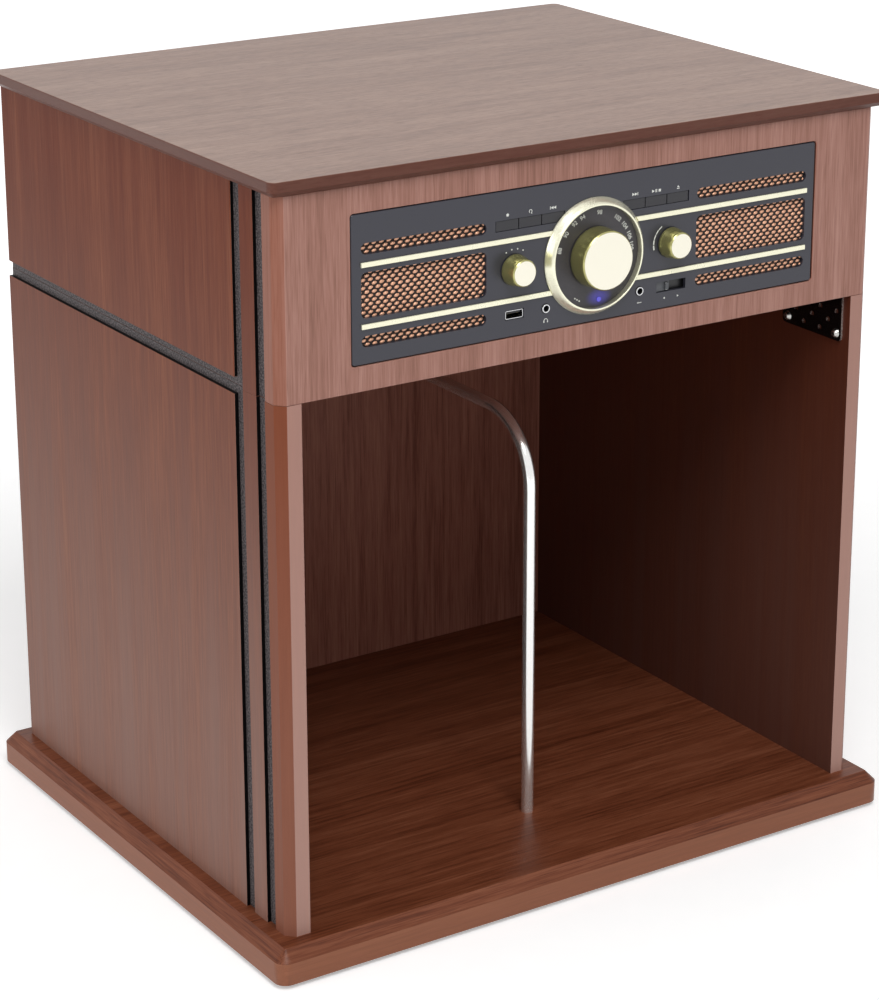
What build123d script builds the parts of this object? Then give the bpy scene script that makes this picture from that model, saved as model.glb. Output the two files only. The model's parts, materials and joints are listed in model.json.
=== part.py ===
"""Retro record player unit on an open record stand.

Millimetres. X runs to the right seen from the front, Y to the back and Z up. The origin is on the floor
under the middle of the base. The lid is shut, the platter is at rest and the tonearm lies in its rest.
"""
import os
from math import cos, radians, sin, sqrt

from build123d import *

# Carcass boards
body_w = 434.0
body_d = 354.0
board_t = 15.0
stand_h = 333.0
unit_h = 121.5
edge_chamfer = 5.5

# Base and pads
base_t = 21.0
base_side = 15.0
base_front = 16.0
base_bevel = 7.0
base_corner_r = 8.0
foot_r = 14.0
foot_h = 3.0
foot_inset = 40.0
bumper_r = 4.0

# Grooves down the sides and round the seam
front_band = 15.5
groove_w = 10.0
groove_d = 2.5
groove_step = 25.3

# Back and bottom boards
stand_back_t = 6.0
stand_back_inset = 2.0
rebate_w = 6.0
unit_back_t = 9.0
unit_bottom_t = 9.0

# Lid
lid_t = 9.0
lid_gap = 0.6
lid_over = 5.0
lid_corner_r = 5.0
lid_under_chamfer = 3.0
lid_top_round = 0.8

# Record divider, a bent tube
tube_r = 4.0
tube_wall = 1.0
tube_foot_y = 65.5
tube_rise = 267.0
tube_bend_r = 45.0
tube_socket = 10.0

# Corner brackets and their screws
bracket_len = 58.5
bracket_leg = 32.0
bracket_t = 1.5
bracket_front = 6.5
bracket_hole_r = 1.8
bracket_pitch = 16.0
bracket_edge = 5.0
screw_r = 1.6
screw_head_r = 3.2
screw_head_t = 1.8
screw_len = 11.0
base_screw_len = 40.0
base_screw_inset = 60.0

# Control panel
cut_w = 337.4
cut_h = 90.0
cut_rise = 60.3
cut_corner_r = 2.2
panel_gap = 0.6
panel_recess = 0.4
panel_t = 2.5
panel_wall = 2.0
panel_flange = 4.0
row_rise = 56.6
row_step = 27.3

# Grille slots and cloth
slot_h = 6.8
grille_h = 27.0
grille_corner_r = 3.0
cloth_t = 1.0
grille_margin = 6.5
cloth_margin = 4.0

# Dial, trim strips and lamp
bezel_r = 36.0
bezel_lip_r = 32.6
bezel_in_r = 31.5
bezel_h = 5.5
dial_t = 1.5
strip_h = 3.0
strip_t = 1.2
strip_z = 18.2
strip_margin = 6.1
lamp_r = 1.5
lamp_x = 3.0
lamp_drop = 27.0

# Knobs
tuning_r = 18.5
tuning_len = 13.0
small_knob_x = 57.0
small_knob_r = 9.6
small_knob_front_r = 8.2
small_knob_len = 10.5
knob_chamfer = 0.8
knob_gap = 0.8
shaft_r = 3.0
shaft_hole_r = 4.2

# Buttons, sockets and mode slider
button_pitch = 16.2
button_end_x = 70.1
button_h = 6.0
button_slit = 0.25
button_sink = 0.3
button_travel = 1.0
button_depth = 6.8
memory_x = 56.8
memory_w = 13.4
memory_h = 6.0
jack_x = 34.4
jack_r = 3.1
jack_bore_r = 1.8
slider_x = 58.2
slider_slot_w = 22.0
slider_w = 10.0
slider_h = 6.0
nib_w = 2.4
nib_h = 4.4
nib_out = 1.4

# Boards and parts behind the panel
board_w = 164.0
board_h = 68.0
circuit_t = 1.6
control_depth = 8.0
tuner_w = 26.0
pot_r = 8.5
tact_w = 6.0

# Loudspeakers
speaker_w = 66.0
speaker_flange_t = 2.0
speaker_depth = 22.0
speaker_wall = 1.5
cone_r = 28.0
cone_clear = 1.0
magnet_r = 20.0
magnet_h = 14.0

# Deck plate and cleats
well_depth = 40.0
deck_t = 3.0
ledge_depth = 20.0
ledge_drop = 8.0
deck_gap = 0.5
cleat_w = 12.0
cleat_h = 15.0

# Platter and drive
platter_x = -38.0
platter_r = 110.0
platter_t = 4.0
platter_rim_t = 3.0
platter_lift = 2.2
platter_h = 10.5
mat_t = 2.0
mat_r = 106.0
hub_r = 10.0
spindle_r = 3.6
shaft_post_r = 4.0
spindle_up = 9.0
ring_r = 62.0
ring_t = 3.0
pulley_r = 6.2
pulley_flange = 1.2
pulley_reach = 92.0
pulley_hole_r = 10.0
belt_t = 0.8
belt_h = 4.0
motor_r = 16.0
motor_h = 24.0
motor_shaft_r = 1.0

# Tonearm
arm_x = 150.0
arm_back = 50.0
arm_rise = 14.0
arm_tube_r = 4.0
arm_wall = 0.8
arm_front = 198.0
arm_rear = 16.0
weight_r = 9.0
weight_len = 16.0
arm_base_r = 22.0
arm_base_h = 7.5
bush_wall = 2.0
below_deck = 4.0
ear_w = 8.0
yoke_shaft_r = 4.0
yoke_shaft_len = 6.0
yoke_r = 14.0
yoke_t = 3.0
yoke_cheek = 3.0
yoke_half = 9.0
arm_pin_r = 1.5
shell_len = 34.0
shell_w = 16.0
shell_t = 2.5
cartridge_w = 13.0
cartridge_len = 22.0
cartridge_h = 7.5
stylus_h = 3.2
lift_len = 16.0
lift_w = 4.0
lift_back = 14.0
rest_front = 118.0
rest_w = 8.0
lever_len = 24.0
lever_w = 4.0
lever_x = 27.0
lever_pin_r = 1.5

# Speed selector
selector_x = 166.0
selector_y = -40.0
selector_r = 10.0
selector_h = 7.0

# Hinges and lid stay
hinge_x = 120.0
hinge_w = 36.0
hinge_leaf_t = 1.2
hinge_leaf_h = 24.0
knuckle_r = 2.5
knuckle_gap = 0.3
hinge_pin_r = 1.2
stay_len = 75.0
stay_tilt = 10.0
lid_open = 75.0
stay_w = 10.0
stay_t = 2.2
stay_pin_r = 2.0
stay_angle_t = 2.5
stay_foot_t = 2.0
stay_foot_w = 16.0
track_t = 3.0
track_w = 14.0
slot_play = 0.3

# Inner boards and sockets at the back
main_board_w = 170.0
main_board_d = 110.0
main_board_x = 60.0
main_board_y = 20.0
standoff_h = 8.0
standoff_r = 4.0
standoff_inset = 6.0
sink_w = 60.0
sink_t = 4.0
sink_h = 26.0
sink_inset = 20.0
fin_count = 5
fin_pitch = 14.0
fin_t = 2.0
fin_len = 10.0
capacitor_r = 7.0
capacitor_h = 18.0
capacitor_pitch = 22.0
chip_w = 25.0
chip_t = 3.0
plug_w = 30.0
plug_d = 12.0
plug_h = 9.0
transformer_w = 42.0
transformer_h = 36.0
transformer_back = 58.0
socket_rise = 34.0
inlet_inset = 52.0
inlet_w = 22.0
inlet_h = 14.0
line_step = 55.0
line_pitch = 18.0
line_r = 4.0
line_out = 8.0
line_bore_r = 1.6
vent_w = 60.0
vent_h = 4.0
vent_pitch = 10.0

# Fits: a running fit, a seat between bodies, and a clear gap
run_fit = 0.05
seat = 0.3
clear = 0.5

# Levels and faces worked out from the sizes above
front = -body_d / 2
rear = body_d / 2
half_w = body_w / 2
inner_x = half_w - board_t
base_z = foot_h
floor_z = base_z + base_t
seam_z = floor_z + stand_h
top_z = seam_z + unit_h
lid_z = top_z + lid_gap
fascia_back = front + front_band
unit_back_y = rear - unit_back_t
stand_back_y = rear - stand_back_inset - stand_back_t
bottom_z = seam_z + unit_bottom_t
panel_y = front + panel_recess
panel_half_w = cut_w / 2 - panel_gap
grille_in = button_end_x + grille_margin
grille_out = panel_half_w - grille_margin
grille_w = grille_out - grille_in
grille_x = (grille_in + grille_out) / 2
strip_end_x = panel_half_w - strip_margin
plate_back = panel_y + panel_t
row_z = seam_z + row_rise
cut_z = seam_z + cut_rise
circuit_y = plate_back + control_depth + 2.0
deck_z = top_z - well_depth
riser_y = fascia_back + ledge_depth
ledge_z = top_z - ledge_drop
platter_y = (riser_y + unit_back_y) / 2
platter_z = deck_z + platter_lift
mat_z = platter_z + platter_h
record_z = mat_z + mat_t + 2.0
arm_y = unit_back_y - arm_back
inlet_x = -inner_x + inlet_inset
line_x = inlet_x + line_step
transformer_x = inlet_x
transformer_y = unit_back_y - transformer_back
arm_z = record_z + arm_rise - stylus_h + 1.0
hinge_y = rear + knuckle_r + knuckle_gap
hinge_z = lid_z + hinge_leaf_t / 2 - knuckle_r


def block(x0, x1, y0, y1, z0, z1):
    """A box given by its faces."""
    return Pos((x0 + x1) / 2, (y0 + y1) / 2, (z0 + z1) / 2) * Box(x1 - x0, y1 - y0, z1 - z0)


def along_x(sketch, x0, x1):
    """A sketch of Y and Z, drawn out from x0 to x1."""
    return extrude(Plane.YZ.offset(x0) * sketch, amount=x1 - x0, dir=(1, 0, 0))


def along_y(sketch, y0, y1):
    """A sketch of X and Z, drawn out from y0 to y1."""
    return extrude(Plane.XZ.offset(-y1) * sketch, amount=y1 - y0, dir=(0, -1, 0))


def along_z(sketch, z0, z1):
    """A sketch of X and Y, drawn out from z0 to z1."""
    return extrude(Plane.XY.offset(z0) * sketch, amount=z1 - z0, dir=(0, 0, 1))


def rod_x(y, z, x0, x1, r):
    return along_x(Pos(y, z) * Circle(r), x0, x1)


def rod_y(x, z, y0, y1, r):
    return along_y(Pos(x, z) * Circle(r), y0, y1)


def rod_z(x, y, z0, z1, r):
    return along_z(Pos(x, y) * Circle(r), z0, z1)


def turned_y(points, x, z):
    """A profile of radius and Y, turned round an axis along Y."""
    return Pos(x, 0, z) * revolve(Polygon(*points, align=None), axis=Axis.Y)


def turned_z(points, x, y):
    """A profile of radius and Z, turned round an axis along Z."""
    return Pos(x, y, 0) * revolve(Plane.XZ * Polygon(*points, align=None), axis=Axis.Z)


def both_sides(solid):
    return [solid, mirror(solid, about=Plane.YZ)]


def corner_ys():
    """Where the corner brackets start, at the front and at the back."""
    return [front + bracket_front, stand_back_y - bracket_front - bracket_len]


def bracket_screw_ys(y0):
    return [y0 + bracket_edge, y0 + bracket_edge + 3 * bracket_pitch]


def bracket_top_screw_ys(y0):
    return [y0 + bracket_edge + bracket_pitch, y0 + bracket_edge + 3 * bracket_pitch]


def base_screw_ys():
    return [front + base_screw_inset, 0.0, rear - base_screw_inset]


def base_plinth():
    """Bevelled board with rounded corners, holed for the screws and the divider's foot."""
    outline = RectangleRounded(body_w + 2 * base_side, body_d + 2 * base_front, base_corner_r)
    board = along_z(outline, base_z, floor_z)
    board = chamfer(board.faces().sort_by(Axis.Z)[-1].edges(), base_bevel)
    board -= rod_z(0, front + tube_foot_y, floor_z - tube_socket, floor_z, tube_r)
    for y in base_screw_ys():
        for x in (-half_w + board_t / 2, half_w - board_t / 2):
            board -= rod_z(x, y, base_z, floor_z, screw_r)
            board -= rod_z(x, y, base_z, base_z + screw_head_t, screw_head_r)
    return board


def rubber_pads():
    """Four feet under the base, and two low bumpers that the shut lid lies on."""
    foot_x = half_w - foot_inset
    foot_y = rear - foot_inset
    foot = [(0, 0), (foot_r - 1, 0), (foot_r, 1), (foot_r, foot_h), (0, foot_h)]
    pads = [turned_z(foot, x, y) for x in (-foot_x, foot_x) for y in (-foot_y, foot_y)]
    bumper_y = front + front_band / 2
    pads += both_sides(rod_z(inner_x, bumper_y, top_z, lid_z, bumper_r))
    return pads


def side_board(y0, z0, z1):
    """The left side board from y0 to the rear, with the vertical grooves and the chamfered front corner."""
    board = block(-half_w, -inner_x, y0, rear, z0, z1)
    for k in range(2):
        y = front + front_band + k * groove_step
        board -= block(-half_w, -half_w + groove_d, y, y + groove_w, z0, z1)
    return board


def seam_groove(z0, z1):
    """Half of the groove round the seam, from the rear vertical groove to the rear edge."""
    y0 = front + front_band + groove_step
    return block(-half_w, -half_w + groove_d, y0, rear, z0, z1)


def front_chamfer(z0, z1):
    """What the chamfer takes off the left front corner."""
    corner = Polygon(
        (-half_w, front), (-half_w + edge_chamfer, front), (-half_w, front + edge_chamfer), align=None
    )
    return along_z(corner, z0, z1)


def stand_side():
    board = side_board(front, floor_z, seam_z) - front_chamfer(floor_z, seam_z)
    board -= seam_groove(seam_z - groove_w / 2, seam_z)
    board -= block(-inner_x - rebate_w, -inner_x, stand_back_y, rear, floor_z, seam_z)
    for y0 in corner_ys():
        for y in bracket_screw_ys(y0):
            z = seam_z - bracket_leg + bracket_edge
            board -= rod_x(y, z, -inner_x - screw_len + bracket_t, -inner_x, screw_r)
    for y in base_screw_ys():
        board -= rod_z(-half_w + board_t / 2, y, floor_z, base_z + base_screw_len, screw_r)
    return board


def unit_side():
    board = side_board(fascia_back, seam_z, top_z)
    board -= seam_groove(seam_z, seam_z + groove_w / 2)
    return board


def stand_back():
    x = inner_x + rebate_w
    board = block(-x, x, stand_back_y, stand_back_y + stand_back_t, floor_z, seam_z)
    return board - rod_y(0, floor_z + tube_rise, stand_back_y, stand_back_y + stand_back_t, tube_r)


def unit_back():
    """Back board of the unit with its vents and the holes of the sockets."""
    board = block(-inner_x, inner_x, unit_back_y, rear, seam_z, top_z)
    z = seam_z + socket_rise
    for k in range(3):
        vent = Pos(0, z + k * vent_pitch) * SlotOverall(vent_w, vent_h)
        board -= along_y(vent, unit_back_y, rear)
    board -= along_y(Pos(inlet_x, z) * Rectangle(inlet_w, inlet_h), unit_back_y, rear)
    for k in range(2):
        board -= rod_y(line_x + k * line_pitch, z, unit_back_y, rear, line_r)
    return board


def unit_bottom():
    board = block(-inner_x, inner_x, fascia_back, unit_back_y, seam_z, bottom_z)
    for x in bracket_top_screw_xs():
        for y0 in corner_ys():
            for y in bracket_top_screw_ys(y0):
                board -= rod_z(x, y, seam_z, seam_z + unit_bottom_t - 1.0, screw_r)
    return board


def bracket_top_screw_xs():
    x = inner_x - bracket_leg + bracket_edge
    return [-x, x]


def record_divider():
    """Chrome tube: up from the base, round one bend and level to the back board."""
    y0 = front + tube_foot_y
    z0 = floor_z - tube_socket
    z1 = floor_z + tube_rise
    y1 = stand_back_y + stand_back_t
    rise = Line((0, y0, z0), (0, y0, z1 - tube_bend_r))
    bend = TangentArc((0, y0, z1 - tube_bend_r), (0, y0 + tube_bend_r, z1), tangent=(0, 0, 1))
    run = Line((0, y0 + tube_bend_r, z1), (0, y1, z1))
    ring = Plane.XY.offset(z0) * Pos(0, y0) * (Circle(tube_r) - Circle(tube_r - tube_wall))
    return sweep(ring, path=Wire([rise, bend, run]))


def corner_bracket(y0):
    """Perforated angle at the left, one leg on the side board and one under the unit's bottom."""
    y1 = y0 + bracket_len
    low = seam_z - bracket_leg
    leg = Pos((y0 + y1) / 2, (low + seam_z) / 2) * RectangleRounded(bracket_len, bracket_leg, 3)
    upright = along_x(leg, -inner_x, -inner_x + bracket_t)
    upright += block(-inner_x, -inner_x + bracket_t, y0, y1, seam_z - bracket_leg / 2, seam_z)
    top = block(-inner_x, -inner_x + bracket_leg, y0, y1, seam_z - bracket_t, seam_z)
    angle = upright + top
    for k in range(4):
        y = y0 + bracket_edge + k * bracket_pitch
        for z in (low + bracket_edge, low + bracket_edge + bracket_pitch * 0.9):
            angle -= rod_x(y, z, -inner_x, -inner_x + bracket_t, bracket_hole_r)
    z = low + bracket_edge + bracket_pitch * 0.45
    for k in range(3):
        y = y0 + bracket_edge + (k + 0.5) * bracket_pitch
        angle -= rod_x(y, z, -inner_x, -inner_x + bracket_t, bracket_hole_r)
    for y in bracket_top_screw_ys(y0):
        angle -= rod_z(-inner_x + bracket_leg - bracket_edge, y, seam_z - bracket_t, seam_z, bracket_hole_r)
    return angle


def corner_brackets():
    return [b for y0 in corner_ys() for b in both_sides(corner_bracket(y0))]


def screw_profile(length):
    """Pan head screw: radius and distance from the head's seat."""
    return [(0, -screw_head_t), (screw_head_r * 0.7, -screw_head_t), (screw_head_r, 0), (screw_r, 0),
            (screw_r, length), (0, length)]


def wood_screws():
    """Screws of the brackets, sideways and upwards, and of the base into the side boards."""
    upward = turned_z(screw_profile(unit_bottom_t - 1.0 + bracket_t), 0, 0)
    sideways = Rot(0, -90, 0) * turned_z(screw_profile(screw_len), 0, 0)
    long = turned_z(screw_profile(base_screw_len - screw_head_t), 0, 0)
    screws = []
    for y0 in corner_ys():
        for y in bracket_screw_ys(y0):
            z = seam_z - bracket_leg + bracket_edge
            screws += both_sides(Pos(-inner_x + bracket_t, y, z) * sideways)
        for y in bracket_top_screw_ys(y0):
            screws += both_sides(Pos(bracket_top_screw_xs()[0], y, seam_z - bracket_t) * upward)
    for y in base_screw_ys():
        screws += both_sides(Pos(-half_w + board_t / 2, y, base_z + screw_head_t) * long)
    return screws


def fascia_frame():
    """Front board of the unit with the opening of the control panel."""
    board = block(-half_w, half_w, front, fascia_back, seam_z, top_z)
    for corner in both_sides(front_chamfer(seam_z, top_z)):
        board -= corner
    opening = Pos(0, cut_z) * RectangleRounded(cut_w, cut_h, cut_corner_r)
    return board - along_y(opening, front, fascia_back)


def grille_outlines():
    """The six speaker slots of the panel's face."""
    shapes = []
    for x in (-grille_x, grille_x):
        shapes.append(Pos(x, row_z) * RectangleRounded(grille_w, grille_h, grille_corner_r))
        for z in (row_z - row_step, row_z + row_step):
            shapes.append(Pos(x, z) * SlotOverall(grille_w, slot_h))
    return shapes


def control_panel():
    """Moulded panel: a face with its slots, holes and windows, walls and a flange behind the fascia."""
    w = cut_w - 2 * panel_gap
    h = cut_h - 2 * panel_gap
    r = cut_corner_r - panel_gap
    outer = Pos(0, cut_z) * RectangleRounded(w, h, r)
    inner = Pos(0, cut_z) * Rectangle(w - 2 * panel_wall, h - 2 * panel_wall)
    grow = 2 * panel_flange
    rim = Pos(0, cut_z) * RectangleRounded(cut_w + grow, cut_h + grow, r + panel_flange)
    shell = along_y(outer, panel_y, fascia_back) + along_y(rim, fascia_back, fascia_back + panel_wall)
    shell = chamfer(shell.faces().sort_by(Axis.Y)[0].edges(), panel_recess)
    shell -= along_y(inner, plate_back, fascia_back + panel_wall)
    for outline in grille_outlines():
        shell -= along_y(outline, panel_y, plate_back)
    for x, r in ((0, shaft_hole_r), (-small_knob_x, shaft_hole_r), (small_knob_x, shaft_hole_r)):
        shell -= rod_y(x, row_z, panel_y, plate_back, r)
    row_w = 3 * button_pitch + 2 * button_slit
    for x in (-button_end_x + 1.5 * button_pitch, button_end_x - 1.5 * button_pitch):
        window = Pos(x, row_z + row_step) * Rectangle(row_w, button_h + 2 * button_slit)
        shell -= along_y(window, panel_y, plate_back)
    socket_z = row_z - row_step
    shell -= along_y(Pos(-memory_x, socket_z) * Rectangle(memory_w, memory_h), panel_y, plate_back)
    for x in (-jack_x, jack_x):
        shell -= rod_y(x, socket_z, panel_y, plate_back, jack_r)
    slot = Pos(slider_x, socket_z) * Rectangle(slider_slot_w, slider_h + 2 * button_slit)
    shell -= along_y(slot, panel_y, plate_back)
    shell -= rod_y(lamp_x, row_z - lamp_drop, panel_y, plate_back, lamp_r)
    return shell


def grille_cloths():
    """Cloth boards behind the slots, one each side."""
    low_x = grille_x - grille_w / 2 - cloth_margin
    high_x = grille_x + grille_w / 2 + cloth_margin
    reach = row_step + slot_h / 2 + 1.5
    return both_sides(block(low_x, high_x, plate_back, plate_back + cloth_t, row_z - reach, row_z + reach))


def speaker():
    """Square flange, open basket and magnet of the right speaker."""
    y0 = plate_back + cloth_t
    y1 = y0 + speaker_flange_t
    y2 = y0 + speaker_depth
    flange = Pos(grille_x, row_z) * RectangleRounded(speaker_w, speaker_w, 8)
    frame = along_y(flange, y0, y1)
    basket = [(0, y1), (cone_r + cone_clear + speaker_wall, y1), (magnet_r - 2, y2), (0, y2)]
    frame += turned_y(basket, grille_x, row_z)
    hollow = [(0, y0), (cone_r + cone_clear, y0), (cone_r + cone_clear, y1), (magnet_r - 6, y2 - 3),
              (0, y2 - 3)]
    frame -= turned_y(hollow, grille_x, row_z)
    return frame + rod_y(grille_x, row_z, y2, y2 + magnet_h, magnet_r)


def speaker_cone():
    """Paper cone with its roll edge and dust cap."""
    y0 = plate_back + cloth_t + 0.9
    y1 = y0 + 12.0
    y2 = plate_back + cloth_t + speaker_depth - 3
    profile = [(cone_r + cone_clear, y0), (cone_r - 3, y0), (8, y1), (0, y1 - 3), (0, y2), (7, y2),
               (7, y1 + 2), (cone_r - 2, y0 + 1), (cone_r + cone_clear, y0 + 1)]
    return turned_y(profile, grille_x, row_z)


def trim_strips():
    """Four flat strips on the panel's face, ending at the bezel."""
    strips = []
    for z in (row_z - strip_z, row_z + strip_z):
        y = panel_y - strip_t
        strip = block(bezel_in_r / 2, strip_end_x, y, panel_y, z - strip_h / 2, z + strip_h / 2)
        strip -= rod_y(0, row_z, y, panel_y, bezel_r + 0.1)
        strips += both_sides(strip)
    return strips


def dial_bezel():
    """Cone-shaped ring round the dial."""
    return turned_y([(bezel_in_r, panel_y), (bezel_in_r, panel_y - bezel_h), (bezel_lip_r, panel_y - bezel_h),
                     (bezel_r, panel_y - 0.8), (bezel_r, panel_y)], 0, row_z)


def dial_face():
    disc = rod_y(0, row_z, panel_y - dial_t, panel_y, bezel_in_r)
    disc -= rod_y(0, row_z, panel_y - dial_t, panel_y, shaft_hole_r)
    return disc - rod_y(lamp_x, row_z - lamp_drop, panel_y - dial_t, panel_y, lamp_r)


def power_lamp():
    """Lamp on the circuit board, reaching through the dial."""
    return rod_y(lamp_x, row_z - lamp_drop, panel_y - dial_t - 0.4, circuit_y, lamp_r)


def knob(x, back_r, front_r, back_y, length):
    """Turned knob with a chamfered face, and the shaft that its control holds."""
    front_y = back_y - length
    shaft_end = circuit_y - 1.0
    profile = [(0, front_y), (front_r - knob_chamfer, front_y), (front_r, front_y + knob_chamfer),
               (back_r, back_y), (shaft_r, back_y), (shaft_r, shaft_end), (0, shaft_end)]
    return turned_y(profile, x, row_z)


def tuning_knob():
    return knob(0, tuning_r, tuning_r - 0.4, panel_y - dial_t - knob_gap, tuning_len)


def small_knob(x):
    return knob(x, small_knob_r, small_knob_front_r, panel_y - knob_gap, small_knob_len)


def shaft_bore(x):
    return rod_y(x, row_z, plate_back, circuit_y - 1.0 + clear, shaft_r + run_fit)


def tuner_unit():
    """Tuning capacitor on the circuit board, with the bore of the tuning shaft."""
    y0 = circuit_y - control_depth
    can = Pos(0, row_z) * RectangleRounded(tuner_w, tuner_w, 2)
    body = along_y(can, y0, circuit_y) + rod_y(0, row_z, plate_back + clear, y0, shaft_r + 1.0)
    return body - shaft_bore(0)


def rotary_controls():
    """Function switch and volume control, each a round can with a bush."""
    parts = []
    for x in (-small_knob_x, small_knob_x):
        y0 = circuit_y - control_depth
        can = rod_y(x, row_z, y0, circuit_y, pot_r) + rod_y(x, row_z, plate_back + clear, y0, shaft_r + 1.0)
        parts.append(can - shaft_bore(x))
    return parts


def button_x(k):
    """Middle of each button, from left to right."""
    centres = [-button_end_x + (i + 0.5) * button_pitch for i in range(3)]
    centres += [-x for x in reversed(centres)]
    return centres[k]


def button(k):
    """A flat key with a stem towards its switch."""
    x = button_x(k)
    z = row_z + row_step
    y0 = panel_y + button_sink
    cap = Pos(x, z) * Rectangle(button_pitch - 2 * button_slit, button_h)
    key = along_y(cap, y0, y0 + 3.2)
    return key + along_y(Pos(x, z) * Rectangle(3, 3), y0 + 3.2, y0 + button_depth)


def panel_board():
    """Circuit board behind the panel with the key switches and the body of the mode switch."""
    outline = Pos(0, row_z) * Rectangle(board_w, board_h)
    board = along_y(outline, circuit_y, circuit_y + circuit_t)
    switch_y = panel_y + button_sink + button_depth + button_travel + 0.2
    for k in range(6):
        tact = Pos(button_x(k), row_z + row_step) * Rectangle(tact_w, tact_w)
        board += along_y(tact, switch_y, circuit_y)
    body = Pos(slider_x, row_z - row_step) * Rectangle(slider_slot_w + 3, slider_h + 2)
    board += along_y(body, slider_back() + seat, circuit_y)
    return board


def slider_back():
    return panel_y + 3.4


def mode_slider():
    """Slider block with its nib, at the left end of its slot."""
    x0 = slider_x - slider_slot_w / 2 + button_slit
    z = row_z - row_step
    block_mid = Pos(x0 + slider_w / 2, z) * Rectangle(slider_w, slider_h)
    slide = along_y(block_mid, panel_y + 1.2, slider_back())
    nib = Pos(x0 + slider_w - nib_w, z) * Rectangle(nib_w, nib_h)
    return slide + along_y(nib, panel_y + 1.2 - nib_out, panel_y + 1.2)


def panel_sockets():
    """Memory stick socket with its tongue, and two jack sockets."""
    z = row_z - row_step
    fit = 0.2
    shell = Pos(-memory_x, z) * Rectangle(memory_w - fit, memory_h - fit)
    inside = Pos(-memory_x, z) * Rectangle(memory_w - fit - 1.0, memory_h - fit - 1.0)
    memory = along_y(shell, panel_y + clear, circuit_y) - along_y(inside, panel_y + clear, circuit_y - 1.5)
    tongue = Pos(-memory_x, z + 1.0) * Rectangle(memory_w - 2.6, 1.4)
    memory += along_y(tongue, panel_y + 2.0, circuit_y - 1.5)
    sockets = [memory]
    for x in (-jack_x, jack_x):
        jack = rod_y(x, z, panel_y - 0.4, circuit_y, jack_r - 0.1)
        sockets.append(jack - rod_y(x, z, panel_y - 0.4, circuit_y - 1.0, jack_bore_r))
    return sockets


def deck_plate():
    """Plate of the record deck: a floor in the well and a ledge along the front."""
    x = inner_x - deck_gap
    y0 = fascia_back + deck_gap
    y1 = unit_back_y - deck_gap
    low = deck_z - deck_t
    section = Polygon(
        (y1, low), (riser_y - deck_t, low), (riser_y - deck_t, ledge_z - deck_t), (y0, ledge_z - deck_t),
        (y0, ledge_z), (riser_y, ledge_z), (riser_y, deck_z), (y1, deck_z), align=None
    )
    plate = along_x(section, -x, x)
    plate -= rod_z(platter_x, platter_y, low, deck_z, shaft_post_r)
    motor_x, motor_y = motor_place()
    plate -= rod_z(motor_x, motor_y, low, deck_z, pulley_hole_r)
    plate -= rod_z(arm_x, arm_y, low, deck_z, yoke_shaft_r + bush_wall)
    return plate - rod_z(selector_x, selector_y, low, deck_z, shaft_r + run_fit)


def motor_place():
    """The pulley stands behind and to the left of the platter's middle."""
    reach = pulley_reach / sqrt(2)
    return platter_x - reach, platter_y + reach


def deck_cleats():
    """Battens on the side boards that carry the deck plate."""
    z1 = deck_z - deck_t
    return both_sides(block(-inner_x, -inner_x + cleat_w, riser_y, unit_back_y, z1 - cleat_h, z1))


def platter_spindle():
    """Flanged spindle standing on the deck, with its nut below."""
    low = deck_z - deck_t
    step = mat_z + mat_t
    top = step + spindle_up
    profile = [(0, low - 6), (hub_r / 2, low - 6), (hub_r / 2, low), (shaft_post_r, low),
               (shaft_post_r, deck_z), (hub_r, deck_z), (hub_r, deck_z + 1.2),
               (shaft_post_r, deck_z + 1.2), (shaft_post_r, step),
               (spindle_r, step), (spindle_r, top - 2), (1.2, top), (0, top)]
    return turned_z(profile, platter_x, platter_y)


def platter():
    """Pressed platter with a turned-down rim, a ring for the belt and a hub."""
    low = platter_z
    top = mat_z
    under = top - platter_t
    bore = shaft_post_r + run_fit
    rim_in = platter_r - platter_rim_t
    disc = [(bore, under), (rim_in, under), (rim_in, low), (platter_r, low), (platter_r, top - 1),
            (platter_r - 1, top), (bore, top)]
    ring = [(ring_r - ring_t, low), (ring_r, low), (ring_r, under), (ring_r - ring_t, under)]
    hub = [(bore, deck_z + 1.2 + seat), (hub_r, deck_z + 1.2 + seat), (hub_r, under), (bore, under)]
    solid = turned_z(disc, platter_x, platter_y) + turned_z(ring, platter_x, platter_y)
    return solid + turned_z(hub, platter_x, platter_y)


def slipmat():
    hole = shaft_post_r + 1
    top = mat_z + mat_t
    return turned_z([(hole, mat_z), (mat_r, mat_z), (mat_r, top), (hole, top)], platter_x, platter_y)


def belt_level():
    return platter_z + 0.6


def motor_pulley():
    """Crowned pulley on the motor's shaft."""
    x, y = motor_place()
    z0 = belt_level() - pulley_flange
    z1 = belt_level() + belt_h
    low = deck_z - deck_t - motor_h / 2
    wide = pulley_r + 1.0
    profile = [(0, low), (motor_shaft_r, low), (motor_shaft_r, z0 - 1), (wide, z0 - 1), (wide, z0),
               (pulley_r, z0), (pulley_r, z1), (wide, z1), (wide, z1 + 1), (0, z1 + 1)]
    return turned_z(profile, x, y)


def belt_loop(grow):
    """Outline round the platter's ring and the pulley."""
    ring = Pos(platter_x, platter_y) * Circle(ring_r + grow)
    x, y = motor_place()
    pulley = Pos(x, y) * Circle(pulley_r + grow)
    return make_hull(ring.edges() + pulley.edges())


def drive_belt():
    inner = along_z(belt_loop(seat), belt_level(), belt_level() + belt_h - seat)
    outer = along_z(belt_loop(seat + belt_t), belt_level(), belt_level() + belt_h - seat)
    return outer - inner


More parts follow.
